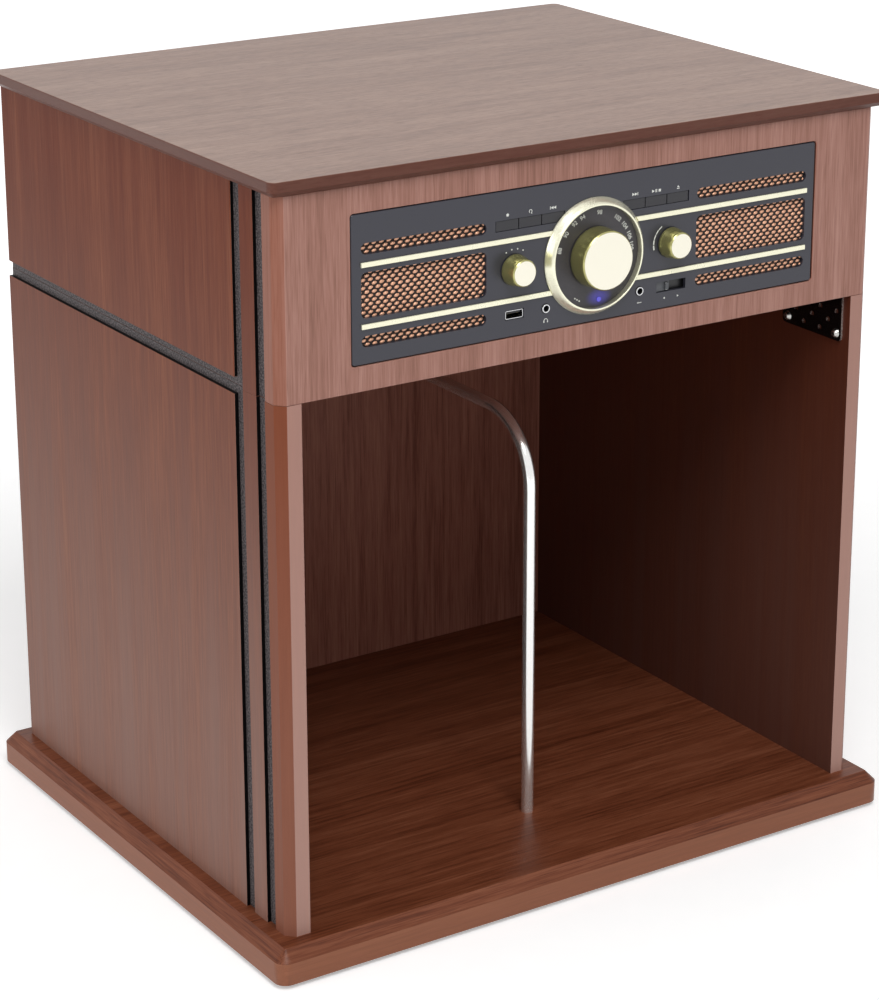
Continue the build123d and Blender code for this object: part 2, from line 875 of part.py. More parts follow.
def drive_motor():
    """Round motor hung under the deck by its flange."""
    x, y = motor_place()
    z1 = deck_z - deck_t
    ears = Pos(x, y) * SlotOverall(3 * motor_r, motor_r)
    body = rod_z(x, y, z1 - motor_h, z1, motor_r) + along_z(ears, z1 - 1.5, z1)
    return body - rod_z(x, y, z1 - motor_h / 2 - clear, z1, motor_shaft_r + run_fit)


def tonearm_base():
    """Round foot of the tonearm with the bore of the yoke and the ear of the cue lever."""
    z1 = deck_z + arm_base_h
    profile = [(0, deck_z), (arm_base_r, deck_z), (arm_base_r, z1 - 2), (arm_base_r - 2, z1), (0, z1)]
    base = turned_z(profile, arm_x, arm_y)
    base += rod_z(arm_x, arm_y, deck_z - deck_t - below_deck, deck_z, yoke_shaft_r + bush_wall)
    base -= rod_z(arm_x, arm_y, z1 - yoke_shaft_len - clear, z1, yoke_shaft_r + run_fit)
    x1 = arm_x + lever_x - lever_w / 2 - seat
    x0 = x1 - ear_w
    ear = block(x0, x1, arm_y - ear_w / 2, arm_y + ear_w / 2, deck_z, lever_z() + lever_pin_r * 2)
    return base + ear - rod_x(arm_y, lever_z(), x0, x1, lever_pin_r + run_fit)


def lever_z():
    return deck_z + 12.0


def cue_lever():
    """Lever with its pivot pin, at the right of the tonearm's foot."""
    x0 = arm_x + lever_x - lever_w / 2
    x1 = x0 + lever_w
    z = lever_z()
    arm = block(x0, x1, arm_y - lever_len, arm_y, z - 2, z + 2) + rod_x(arm_y, z, x0, x1, 4)
    pad = block(x0 - 1, x1 + 2, arm_y - lever_len - 5, arm_y - lever_len, z - 2, z + 2)
    return arm + pad + rod_x(arm_y, z, x0 - ear_w, x0, lever_pin_r)


def arm_yoke():
    """Turning fork of the tonearm: a disc on a shaft and two cheeks."""
    z0 = deck_z + arm_base_h + seat
    z1 = z0 + yoke_t
    low = z0 - yoke_shaft_len
    profile = [(0, low), (yoke_shaft_r, low), (yoke_shaft_r, z0), (yoke_r, z0), (yoke_r, z1), (0, z1)]
    fork = turned_z(profile, arm_x, arm_y)
    for side in (-1, 1):
        mid = arm_x + side * (yoke_half + yoke_cheek / 2)
        cheek = block(mid - yoke_cheek / 2, mid + yoke_cheek / 2, arm_y - 5, arm_y + 5, z1, arm_z)
        fork += cheek + rod_x(arm_y, arm_z, mid - yoke_cheek / 2, mid + yoke_cheek / 2, 5)
        fork -= rod_x(arm_y, arm_z, mid - yoke_cheek / 2, mid + yoke_cheek / 2, arm_pin_r + run_fit)
    return fork


def shell_end_y():
    return arm_y - arm_front


def tonearm():
    """Arm tube with its cross pin, rear weight and flat headshell with a finger lift."""
    y0 = shell_end_y()
    arm = rod_y(arm_x, arm_z, y0, arm_y + arm_rear, arm_tube_r)
    arm -= rod_y(arm_x, arm_z, y0 + arm_wall, arm_y + arm_rear, arm_tube_r - arm_wall)
    arm += rod_y(arm_x, arm_z, arm_y + arm_rear, arm_y + arm_rear + weight_len, weight_r)
    arm += rod_x(arm_y, arm_z, arm_x - yoke_half - yoke_cheek, arm_x + yoke_half + yoke_cheek, arm_pin_r)
    w = shell_w / 2
    outline = Polygon((-w, 0), (w, 0), (w - 2, -shell_len), (2 - w, -shell_len), align=None)
    arm += along_z(Pos(arm_x, y0 + 4) * outline, arm_z - shell_t / 2, arm_z + shell_t / 2)
    lift = Pos(arm_x + shell_w / 2 + lift_len / 4, y0 - lift_back) * SlotOverall(lift_len, lift_w)
    return arm + along_z(lift, arm_z - shell_t / 2, arm_z)


def cartridge():
    """Cartridge under the headshell, with its stylus."""
    y1 = shell_end_y() - 2
    y0 = y1 - cartridge_len
    z1 = arm_z - shell_t / 2
    z0 = z1 - cartridge_h
    body = block(arm_x - cartridge_w / 2, arm_x + cartridge_w / 2, y0, y1, z0, z1)
    body = chamfer(body.edges().filter_by(Axis.Z), 1.5)
    tip_y = y0 + 4
    return body + turned_z([(0, z0), (1.6, z0), (0.4, z0 - stylus_h), (0, z0 - stylus_h)], arm_x, tip_y)


def arm_rest():
    """Post with a shelf under the arm, a wall on its outer side and open towards the platter."""
    y = arm_y - rest_front
    low = arm_z - arm_tube_r - seat
    out = arm_x + arm_tube_r + seat
    rest = block(out - 2 * arm_tube_r, out + 3, y - rest_w / 2, y + rest_w / 2, low - 3, low)
    rest += block(out, out + 3, y - rest_w / 2, y + rest_w / 2, low, arm_z + 2)
    return rest + rod_z(arm_x, y, deck_z, low - 1, 4) + rod_z(arm_x, y, deck_z, deck_z + 2, 8)


def speed_selector():
    """Low knob with a pointer, its shaft in the deck plate."""
    z0 = deck_z + seat
    z1 = z0 + selector_h
    low = deck_z - deck_t - below_deck
    profile = [(0, low), (shaft_r, low), (shaft_r, z0), (selector_r, z0), (selector_r - 1, z1), (0, z1)]
    tip_y = selector_y - selector_r + 1.5
    pointer = block(selector_x - 1, selector_x + 1, tip_y, selector_y, z1, z1 + 1)
    return turned_z(profile, selector_x, selector_y) + pointer


def leaf_spans(x):
    """The hinge's width in three knuckles: the outer two are the fixed leaf's, the middle one the lid's."""
    third = hinge_w / 3
    x0 = x - hinge_w / 2
    return [(x0 + k * third + (knuckle_gap if k else 0), x0 + (k + 1) * third) for k in range(3)]


def fixed_hinge_leaves():
    """Leaves on the back board with their outer knuckles, and the pins."""
    solids = []
    for x in (-hinge_x, hinge_x):
        leaf_y = rear + hinge_leaf_t
        leaf = block(x - hinge_w / 2, x + hinge_w / 2, rear, leaf_y, hinge_z - hinge_leaf_h, hinge_z)
        spans = leaf_spans(x)
        x0 = spans[1][0] - knuckle_gap
        x1 = spans[1][1] + knuckle_gap
        leaf -= block(x0, x1, rear, leaf_y, hinge_z - knuckle_r - knuckle_gap, hinge_z)
        for x0, x1 in (spans[0], spans[2]):
            leaf += rod_x(hinge_y, hinge_z, x0, x1, knuckle_r)
            leaf += block(x0, x1, rear, hinge_y, hinge_z - knuckle_r, hinge_z - knuckle_r + hinge_leaf_t)
        leaf += rod_x(hinge_y, hinge_z, x - hinge_w / 2, x + hinge_w / 2, hinge_pin_r)
        solids.append(leaf)
    return solids


def hinge_recess(x):
    """Bed of one moving leaf in the lid's underside, and the room for the knuckles."""
    x0 = x - hinge_w / 2
    x1 = x + hinge_w / 2
    bed = block(x0, x1, hinge_y - hinge_leaf_h, hinge_y, lid_z, lid_z + hinge_leaf_t)
    return bed + rod_x(hinge_y, hinge_z, x0 - clear, x1 + clear, knuckle_r + clear)


def moving_hinge_leaves():
    """Leaves let into the lid's underside with their middle knuckles."""
    solids = []
    for x in (-hinge_x, hinge_x):
        x0, x1 = leaf_spans(x)[1]
        z1 = lid_z + hinge_leaf_t
        leaf = block(x - hinge_w / 2, x + hinge_w / 2, hinge_y - hinge_leaf_h, rear - clear, lid_z, z1)
        leaf += block(x0, x1, rear - clear, hinge_y, lid_z, z1) + rod_x(hinge_y, hinge_z, x0, x1, knuckle_r)
        solids.append(leaf - rod_x(hinge_y, hinge_z, x0, x1, hinge_pin_r + run_fit))
    return solids


def lid():
    """Flat lid with rounded corners, an eased top edge and a chamfer underneath."""
    outline = RectangleRounded(body_w + 2 * lid_over, body_d + 2 * lid_over, lid_corner_r)
    board = along_z(outline, lid_z, lid_z + lid_t)
    board = chamfer(board.faces().sort_by(Axis.Z)[0].edges(), lid_under_chamfer)
    board = fillet(board.faces().sort_by(Axis.Z)[-1].edges(), lid_top_round)
    for x in (-hinge_x, hinge_x):
        board -= hinge_recess(x)
    return board


def on_track(distance):
    """A point on the stay's line, at a distance in front of the hinge's axis."""
    tilt = radians(stay_tilt)
    return hinge_y - distance * cos(tilt), hinge_z - distance * sin(tilt)


def track_ends():
    """The slot's reach: the pin's place with the lid shut and with it open."""
    return 2 * stay_len * cos(radians(lid_open)), 2 * stay_len


def along_track(near, far, width):
    """A slot shape on the stay's line between two distances, of centres, from the hinge's axis."""
    y, z = on_track((near + far) / 2)
    return Pos(y, z) * Rot(0, 0, stay_tilt) * SlotCenterToCenter(far - near, width)


def stay_track():
    """Slotted plate on the right side board."""
    near, far = track_ends()
    plate = along_x(along_track(near, far, track_w), inner_x - track_t, inner_x)
    return plate - along_x(along_track(near, far, 2 * (stay_pin_r + slot_play)), inner_x - track_t, inner_x)


def stay_face():
    return inner_x - track_t - clear


def lid_stay():
    """Arm of the lid stay: a hole for the lid's pin and a pin that runs in the slot."""
    x1 = stay_face()
    arm = along_x(along_track(stay_len, 2 * stay_len, stay_w), x1 - stay_t, x1)
    y, z = on_track(2 * stay_len)
    arm += rod_x(y, z, x1, inner_x - clear, stay_pin_r)
    y, z = on_track(stay_len)
    return arm - rod_x(y, z, x1 - stay_t, x1, stay_pin_r + run_fit)


def stay_bracket():
    """Angle under the lid with the stay's pivot pin."""
    x1 = stay_face() - stay_t - seat
    y, z = on_track(stay_len)
    drop = block(x1 - stay_angle_t, x1, y - stay_w, y + stay_w, z - stay_w / 2, lid_z)
    foot = block(x1 - stay_foot_w, x1, y - stay_w, y + stay_w, lid_z - stay_foot_t, lid_z)
    return drop + foot + rod_x(y, z, x1, stay_face() + seat, stay_pin_r)


def main_board():
    """Amplifier board on four standoffs, with its heat sink, capacitors and sockets."""
    x0 = main_board_x - main_board_w / 2
    y0 = main_board_y - main_board_d / 2
    x1 = x0 + main_board_w
    y1 = y0 + main_board_d
    z = bottom_z + standoff_h
    top = z + circuit_t
    board = block(x0, x1, y0, y1, z, top)
    for x in (x0 + standoff_inset, x1 - standoff_inset):
        for y in (y0 + standoff_inset, y1 - standoff_inset):
            board += rod_z(x, y, bottom_z, z, standoff_r)
    sink_x = x0 + sink_inset
    fin_y = y1 - standoff_inset - fin_len
    board += block(sink_x, sink_x + sink_w, fin_y - sink_t, fin_y, top, top + sink_h)
    for k in range(fin_count):
        x = sink_x + fin_t + k * fin_pitch
        board += block(x, x + fin_t, fin_y, fin_y + fin_len, top, top + sink_h)
    for k in range(3):
        y = y0 + chip_w + k * capacitor_pitch
        board += rod_z(x1 - 4 * capacitor_r, y, top, top + capacitor_h, capacitor_r)
    board += block(x0 + chip_w, x0 + 2 * chip_w, y0 + chip_w, y0 + 2 * chip_w, top, top + chip_t)
    plug_x = sink_x + sink_w
    plug_y = y0 + plug_d
    return board + block(plug_x, plug_x + plug_w, plug_y, plug_y + plug_d, top, top + plug_h)


def mains_transformer():
    """Laminated transformer with its winding and foot plate."""
    w = transformer_w
    h = transformer_h
    foot = block(-w * 0.7, w * 0.7, -w / 2 + 6, w / 2 - 6, 0, 2)
    core = block(-w / 2, w / 2, -8, 8, 2, h)
    winding = block(-w / 3, w / 3, -w / 2 + 4, w / 2 - 4, 8, h - 6)
    return Pos(transformer_x, transformer_y, bottom_z) * (foot + core + winding)


def rear_sockets():
    """Two-pole inlet and a pair of line sockets in the back board."""
    z = seam_z + socket_rise
    fit = 0.2
    body = along_y(Pos(inlet_x, z) * Rectangle(inlet_w - fit, inlet_h - fit), unit_back_y - 10, rear)
    plate = along_y(Pos(inlet_x, z) * RectangleRounded(inlet_w + 6, inlet_h + 6, 3), rear, rear + 1.5)
    mouth = Pos(inlet_x, z) * SlotOverall(inlet_w - 6, inlet_h - 6)
    inlet = body + plate - along_y(mouth, rear - 8, rear + 1.5)
    for x in (inlet_x - 3, inlet_x + 3):
        inlet += rod_y(x, z, rear - 8, rear - 4, 1)
    sockets = [inlet]
    for k in range(2):
        x = line_x + k * line_pitch
        wide = line_r + 2
        stem = [(0, unit_back_y - 4), (line_r - 0.1, unit_back_y - 4), (line_r - 0.1, rear), (wide, rear),
                (wide, rear + 1.5), (line_r, rear + 1.5), (line_r, rear + line_out), (0, rear + line_out)]
        sockets.append(turned_y(stem, x, z) - rod_y(x, z, rear, rear + line_out, line_bore_r))
    return sockets


def save(name, made):
    """Writes one node, of one solid or of several."""
    solids = made if isinstance(made, list) else [made]
    shape = solids[0] if len(solids) == 1 else Compound(children=solids)
    export_step(shape, f"parts/{name}.step")


def mirrored(solid):
    return mirror(solid, about=Plane.YZ)


os.makedirs("parts", exist_ok=True)
stand_left = stand_side()
unit_left = unit_side()
right_speaker = speaker()
button_names = ["record", "repeat", "previous", "next", "play", "folder"]

save("base_plinth", base_plinth())
save("rubber_pads", rubber_pads())
save("stand_left_panel", stand_left)
save("stand_right_panel", mirrored(stand_left))
save("stand_back_panel", stand_back())
save("record_divider", record_divider())
save("corner_brackets", corner_brackets())
save("wood_screws", wood_screws())
save("unit_left_panel", unit_left)
save("unit_right_panel", mirrored(unit_left))
save("unit_back_panel", unit_back())
save("unit_bottom_panel", unit_bottom())
save("fascia_frame", fascia_frame())
save("deck_cleats", deck_cleats())
save("control_panel", control_panel())
save("grille_cloths", grille_cloths())
save("left_speaker", mirrored(right_speaker))
save("right_speaker", right_speaker)
save("speaker_cones", both_sides(speaker_cone()))
save("trim_strips", trim_strips())
save("dial_bezel", dial_bezel())
save("dial_face", dial_face())
save("power_lamp", power_lamp())
save("panel_board", panel_board())
save("tuner_unit", tuner_unit())
save("rotary_controls", rotary_controls())
save("panel_sockets", panel_sockets())
save("main_board", main_board())
save("mains_transformer", mains_transformer())
save("rear_sockets", rear_sockets())
save("deck_plate", deck_plate())
save("platter_spindle", platter_spindle())
save("drive_motor", drive_motor())
save("drive_belt", drive_belt())
save("tonearm_base", tonearm_base())
save("arm_rest", arm_rest())
save("fixed_hinge_leaves", fixed_hinge_leaves())
save("stay_track", stay_track())
save("lid", lid())
save("moving_hinge_leaves", moving_hinge_leaves())
save("stay_bracket", stay_bracket())
save("lid_stay", lid_stay())
save("platter", platter())
save("slipmat", slipmat())
save("motor_pulley", motor_pulley())
save("arm_yoke", arm_yoke())
save("tonearm", tonearm())
save("cartridge", cartridge())
save("cue_lever", cue_lever())
save("speed_selector", speed_selector())
save("tuning_knob", tuning_knob())
save("function_knob", small_knob(-small_knob_x))
save("volume_knob", small_knob(small_knob_x))
save("mode_slider", mode_slider())
for index, name in enumerate(button_names):
    save(f"{name}_button", button(index))
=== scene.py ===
"""Looks of the retro record player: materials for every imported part, and the fine pieces that stand on them.

Metres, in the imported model's frame: X to the right, Y to the back, Z up, the floor at zero.
"""
import json

from math import cos, pi, radians, sin

import bmesh
import bpy
from mathutils import Matrix, Vector


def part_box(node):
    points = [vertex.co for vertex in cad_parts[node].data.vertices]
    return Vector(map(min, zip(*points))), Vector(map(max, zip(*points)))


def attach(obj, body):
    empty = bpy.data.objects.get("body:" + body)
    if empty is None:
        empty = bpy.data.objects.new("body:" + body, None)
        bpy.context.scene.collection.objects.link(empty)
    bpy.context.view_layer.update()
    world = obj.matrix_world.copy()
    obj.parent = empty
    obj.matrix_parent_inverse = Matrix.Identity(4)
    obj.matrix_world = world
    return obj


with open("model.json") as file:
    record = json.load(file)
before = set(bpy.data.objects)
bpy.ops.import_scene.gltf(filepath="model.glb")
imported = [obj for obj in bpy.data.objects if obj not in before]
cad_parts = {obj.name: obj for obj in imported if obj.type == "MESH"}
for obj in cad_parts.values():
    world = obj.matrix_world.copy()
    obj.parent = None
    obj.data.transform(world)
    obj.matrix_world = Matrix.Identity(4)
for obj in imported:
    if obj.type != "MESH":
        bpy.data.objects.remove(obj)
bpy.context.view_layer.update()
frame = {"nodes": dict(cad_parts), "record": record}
nodes = frame["nodes"]

MM = 0.001

# Camera: place, viewing angles, focal length in pixels and the photograph's principal point
CAMERA_PLACE = (-0.99283, -1.54896, 0.8728)
CAMERA_YAW = 33.88
CAMERA_PITCH = 17.99
CAMERA_ROLL = 0.22
FOCAL_PX = 2947.7
CENTRE_PX = (493.5, 400.0)
IMAGE_W = 879
IMAGE_H = 1000

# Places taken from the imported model
dial_low, dial_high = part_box("dial_face")
cloth_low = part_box("grille_cloths")[0]
side_low, side_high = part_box("stand_left_panel")
unit_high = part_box("unit_left_panel")[1]
ROW_Z = (dial_low.z + dial_high.z) / 2
PANEL_Y = dial_high.y
DIAL_Y = dial_low.y
SEAM_Z = side_high.z

# Sizes that the fine pieces share with the solids
GROOVE_W = 10 * MM
GROOVE_D = 2.5 * MM
FRONT_BAND = 15.5 * MM
GROOVE_STEP = 25.3 * MM
ROW_STEP = 27.3 * MM
GRILLE_X = 119.1 * MM
GRILLE_W = 85 * MM
GRILLE_H = 27 * MM
SLOT_H = 6.8 * MM
BUTTON_PITCH = 16.2 * MM
BUTTON_END_X = 70.1 * MM
SMALL_KNOB_X = 57 * MM
JACK_X = 34.4 * MM
MEMORY_X = 56.8 * MM
DECK_T = 3 * MM
BRACKET_LEN = 58.5 * MM
LINE_X = -95 * MM
LINE_STEP = 18 * MM
LINE_UP = 34 * MM
PRINT_LIFT = 0.06 * MM
SENSOR_MM = 36


def tone(r, g, b):
    """A colour as it looks on screen, 0 to 255, turned into linear light."""
    def linear(c):
        c = c / 255
        return c / 12.92 if c <= 0.04045 else ((c + 0.055) / 1.055) ** 2.4
    return (linear(r), linear(g), linear(b), 1.0)


def add(tree, kind, inputs=None, **settings):
    """A shader node with its settings, and its inputs set to values or linked to sockets."""
    made = tree.nodes.new("ShaderNode" + kind)
    for name, value in settings.items():
        setattr(made, name, value)
    for name, value in (inputs or {}).items():
        if isinstance(value, bpy.types.NodeSocket):
            tree.links.new(value, made.inputs[name])
        else:
            made.inputs[name].default_value = value
    return made


def blank(name):
    """A new material: (material, its node tree, its shader)."""
    made = bpy.data.materials.new(name)
    made.use_nodes = True
    tree = made.node_tree
    return made, tree, tree.nodes["Principled BSDF"]


def place(tree, scale=(1, 1, 1)):
    """Object coordinates, stretched."""
    coordinates = add(tree, "TexCoord").outputs["Object"]
    return add(tree, "Mapping", {"Vector": coordinates, "Scale": scale}).outputs["Vector"]


def noise(tree, vector, scale, detail=3.0, roughness=0.5, distortion=0.0):
    made = add(tree, "TexNoise", {"Vector": vector, "Scale": scale, "Detail": detail, "Roughness": roughness,
                                  "Distortion": distortion})
    return made.outputs["Fac"]


def calc(tree, operation, a, b=0.0):
    return add(tree, "Math", {0: a, 1: b}, operation=operation).outputs[0]


def axes(tree, kind="Object"):
    """X, Y and Z of a point of the object, or of its Normal."""
    return add(tree, "SeparateXYZ", {"Vector": add(tree, "TexCoord").outputs[kind]}).outputs


def length_of(tree, a, b):
    """How far a point lies from the middle, by its two distances along the axes."""
    squares = calc(tree, "ADD", calc(tree, "MULTIPLY", a, a), calc(tree, "MULTIPLY", b, b))
    return calc(tree, "SQRT", squares)


def ramp(tree, value, stops):
    """A colour ramp with stops of place and colour."""
    made = add(tree, "ValToRGB", {"Fac": value})
    elements = made.color_ramp.elements
    elements[0].position, elements[0].color = stops[0]
    elements[1].position, elements[1].color = stops[-1]
    for where, color in stops[1:-1]:
        elements.new(where).color = color
    return made.outputs["Color"]


def steps(tree, value, low, high):
    """0 below low, 1 above high, and a smooth way between."""
    made = add(tree, "MapRange", {"Value": value, "From Min": low, "From Max": high},
               interpolation_type="SMOOTHSTEP")
    return made.outputs["Result"]


def mix(tree, factor, a, b, kind="RGBA"):
    """Between a and b, two colours or, with kind VECTOR, two vectors."""
    made = add(tree, "Mix", {"Factor": factor}, data_type=kind)
    for name, value in (("A", a), ("B", b)):
        socket = [s for s in made.inputs if s.name == name and s.type == kind][0]
        if isinstance(value, bpy.types.NodeSocket):
            tree.links.new(value, socket)
        else:
            socket.default_value = value
    return [s for s in made.outputs if s.type == kind][0]


def bump(tree, shader, height, strength, distance):
    made = add(tree, "Bump", {"Height": height, "Strength": strength, "Distance": distance})
    tree.links.new(made.outputs["Normal"], shader.inputs["Normal"])


def gloss(tree, shader, value, low, high, start=0.0, end=1.0):
    """Roughness from low to high as value goes from start to end."""
    made = add(tree, "MapRange", {"Value": value, "From Min": start, "From Max": end,
                                  "To Min": low, "To Max": high})
    tree.links.new(made.outputs["Result"], shader.inputs["Roughness"])


def between(tree, value, low, high):
    """1 where value lies between low and high."""
    above = calc(tree, "GREATER_THAN", value, low)
    return calc(tree, "MULTIPLY", above, calc(tree, "LESS_THAN", value, high))


def veneer(name, dark, middle, light, grain="Z", edge_grain="Z", reach=0.03, pores=0.4, roughness=0.4,
           edge=None, edge_from=0.75, edge_share=0.6, front=None, foot_sheen_top_shade=None, grooved=False, level=0.2,
           seed=0.0):
    """Wood-grain foil: broad bands, fine streaks and short pores along the grain.

    Faces square to the grain's own axis take edge_grain instead. reach is how short the streaks are.
    edge tints chamfers, or the rim of a flat board. front lightens the faces to the front: painted light.
    The two tints for the foot and the top are painted light too: a painted floor sheen lightens the foot
    and painted shade darkens the top of the cabinet. level is the specular level.
    """
    made, tree, shader = blank(name)
    along = {"X": (reach, 1, 1), "Y": (1, reach, 1), "Z": (1, 1, reach)}
    coordinates = add(tree, "TexCoord").outputs["Object"]
    moved = add(tree, "VectorMath", {0: coordinates, 1: (seed, seed * 0.7, seed * 1.3)}, operation="ADD")
    main = add(tree, "Mapping", {"Vector": moved.outputs[0], "Scale": along[grain]}).outputs["Vector"]
    other = add(tree, "Mapping", {"Vector": moved.outputs[0], "Scale": along[edge_grain]}).outputs["Vector"]
    normal = axes(tree, "Normal")
    where = axes(tree)
    end = calc(tree, "GREATER_THAN", calc(tree, "ABSOLUTE", normal[grain]), 0.6)
    flow = mix(tree, end, main, other, "VECTOR")
    bands = noise(tree, flow, 60, 3, 0.55, 0.5)
    streaks = noise(tree, flow, 420, 4, 0.65, 0.2)
    fine = noise(tree, flow, 1500, 2, 0.6)
    shade = calc(tree, "ADD", calc(tree, "MULTIPLY", bands, 0.28), calc(tree, "MULTIPLY", streaks, 0.42))
    shade = calc(tree, "ADD", shade, calc(tree, "MULTIPLY", fine, 0.30))
    color = ramp(tree, shade, [(0.36, dark), (0.5, middle), (0.64, light)])
    dashes = steps(tree, noise(tree, flow, 1000, 2, 0.5), 0.56, 0.70)
    color = mix(tree, calc(tree, "MULTIPLY", dashes, pores), color, dark)
    # Painted light: the foil lighter towards the foot for a sheen from the floor, darker and redder towards
    # the top for shade.
    if foot_sheen_top_shade:
        tint = mix(tree, steps(tree, where["Z"], 0.05, 0.50), foot_sheen_top_shade[0], foot_sheen_top_shade[1])
        share = add(tree, "MapRange", {"Value": bands, "From Min": 0.35, "From Max": 0.65,
                                       "To Min": 0.72, "To Max": 0.48}).outputs["Result"]
        color = mix(tree, share, color, tint)
    if grooved:
        side_faces = calc(tree, "GREATER_THAN", calc(tree, "ABSOLUTE", normal["X"]), 0.9)
        inside = calc(tree, "LESS_THAN", calc(tree, "ABSOLUTE", where["X"]), -side_high.x + 0.2 * MM)
        inside = calc(tree, "MULTIPLY", inside, side_faces)
        # Painted shade: the inner faces of the side boards darkened toward a deep red-brown, for the shade
        # inside the bay.
        color = mix(tree, calc(tree, "MULTIPLY", inside, 0.75), color, tone(72, 26, 8))
        strip = calc(tree, "LESS_THAN", where["Y"], side_low.y + FRONT_BAND)
        strip = calc(tree, "MULTIPLY", strip, calc(tree, "SUBTRACT", side_faces, inside))
    # Painted light: faces to the front lightened toward a pale pink, standing for the lit, hazed fronts.
    if front:
        facing = calc(tree, "LESS_THAN", normal["Y"], -0.9)
        color = mix(tree, calc(tree, "MULTIPLY", facing, 0.6), color, front)
    if edge:
        rim = calc(tree, "SUBTRACT", 1.0,
                   steps(tree, calc(tree, "ABSOLUTE", normal["Z"]), edge_from, edge_from + 0.2))
        if grain == "Z":
            diagonal = calc(tree, "ABSOLUTE", calc(tree, "MULTIPLY", normal["X"], normal["Y"]))
            rim = steps(tree, diagonal, 0.30, 0.42)
        if grooved:
            rim = calc(tree, "MAXIMUM", rim, strip)
        color = mix(tree, calc(tree, "MULTIPLY", rim, edge_share), color, edge)
    if grooved:
        specks = steps(tree, noise(tree, place(tree), 900, 3), 0.38, 0.64)
        felt = mix(tree, specks, tone(52, 48, 50), tone(112, 104, 104))
        # Painted shadow: the groove walls near-black, only the groove floors keep the speckled grey.
        floor = steps(tree, calc(tree, "ABSOLUTE", normal["X"]), 0.3, 0.7)
        felt = mix(tree, floor, tone(12, 10, 11), felt)
        color = mix(tree, groove_mask(tree), color, felt)
    tree.links.new(color, shader.inputs["Base Color"])
    gloss(tree, shader, streaks, roughness - 0.06, roughness + 0.08)
    shader.inputs["Specular IOR Level"].default_value = level
    relief = calc(tree, "SUBTRACT", calc(tree, "MULTIPLY", streaks, 0.5), dashes)
    bump(tree, shader, relief, 0.2, 0.0001)
    return made


def groove_mask(tree):
    """1 inside the grooves of the side boards."""
    where = axes(tree)
    half_w = -side_low.x
    slack = 0.05 * MM
    sunk = between(tree, calc(tree, "ABSOLUTE", where["X"]), half_w - GROOVE_D - slack, half_w - 3 * slack)
    upright = 0.0
    for k in range(2):
        y = side_low.y + FRONT_BAND + k * GROOVE_STEP
        upright = calc(tree, "MAXIMUM", upright, between(tree, where["Y"], y - slack, y + GROOVE_W + slack))
    level = between(tree, where["Z"], SEAM_Z - GROOVE_W / 2 - slack, SEAM_Z + GROOVE_W / 2 + slack)
    behind = calc(tree, "GREATER_THAN", where["Y"], side_low.y + FRONT_BAND + GROOVE_STEP)
    level = calc(tree, "MULTIPLY", level, behind)
    return calc(tree, "MULTIPLY", sunk, calc(tree, "MAXIMUM", upright, level))


def plastic(name, color, roughness=0.4, grain=1400, strength=0.08):
    """Moulded plastic or paint with a fine texture and a faint change of shade."""
    made, tree, shader = blank(name)
    patches = noise(tree, place(tree), 55, 3)
    darker = tuple(c * 0.88 for c in color[:3]) + (1.0,)
    tree.links.new(mix(tree, patches, darker, color), shader.inputs["Base Color"])
    gloss(tree, shader, patches, roughness - 0.04, roughness + 0.06)
    bump(tree, shader, noise(tree, place(tree), grain, 2), strength, 0.0001)
    return made


def metal(name, color, roughness=0.2, brush=None, strength=0.05, metallic=1.0, dim=0.88):
    """Metal with faint smudges, brushed along an axis if one is given."""
    made, tree, shader = blank(name)
    shader.inputs["Metallic"].default_value = metallic
    smudge = noise(tree, place(tree), 90, 4, 0.6)
    darker = tuple(c * dim for c in color[:3]) + (1.0,)
    tree.links.new(mix(tree, smudge, darker, color), shader.inputs["Base Color"])
    scale = {None: (1, 1, 1), "X": (0.02, 1, 1), "Y": (1, 0.02, 1), "Z": (1, 1, 0.02)}[brush]
    lines = noise(tree, place(tree, scale), 2600, 3)
    value = calc(tree, "ADD", calc(tree, "MULTIPLY", smudge, 0.5), calc(tree, "MULTIPLY", lines, 0.5))
    gloss(tree, shader, value, roughness * 0.8, roughness * 1.25, 0.3, 0.7)
    bump(tree, shader, lines, strength, 0.00005)
    return made


def spun(name, face, side, x_middle):
    """Turned metal whose front has fine rings round its middle; its paler front and darker olive side are
    painted reflection.
    """
    made, tree, shader = blank(name)
    shader.inputs["Metallic"].default_value = 0.75
    where = axes(tree)
    x = calc(tree, "SUBTRACT", where["X"], x_middle)
    radius = length_of(tree, x, calc(tree, "SUBTRACT", where["Z"], ROW_Z))
    rings = add(tree, "CombineXYZ", {"X": calc(tree, "MULTIPLY", radius, 4000)}).outputs["Vector"]
    lines = noise(tree, rings, 1.0, 2)
    # Painted reflection: the front faces take the pale face colour, the sides the olive one.
    front = steps(tree, calc(tree, "MULTIPLY", axes(tree, "Normal")["Y"], -1.0), 0.75, 0.95)
    tree.links.new(mix(tree, front, side, face), shader.inputs["Base Color"])
    gloss(tree, shader, lines, 0.176, 0.286)
    bump(tree, shader, lines, 0.06, 0.00004)
    return made


def cloth(name, low, high, scale=1200):
    """Woven cloth: two crossing waves."""
    made, tree, shader = blank(name)
    across, along = [add(tree, "TexWave", {"Vector": place(tree), "Scale": scale},
                         bands_direction=direction).outputs["Fac"] for direction in "XZ"]
    weave = calc(tree, "MULTIPLY", across, along)
    tree.links.new(mix(tree, weave, low, high), shader.inputs["Base Color"])
    shader.inputs["Roughness"].default_value = 0.85
    shader.inputs["Sheen Weight"].default_value = 0.15
    bump(tree, shader, weave, 0.4, 0.0002)
    return made


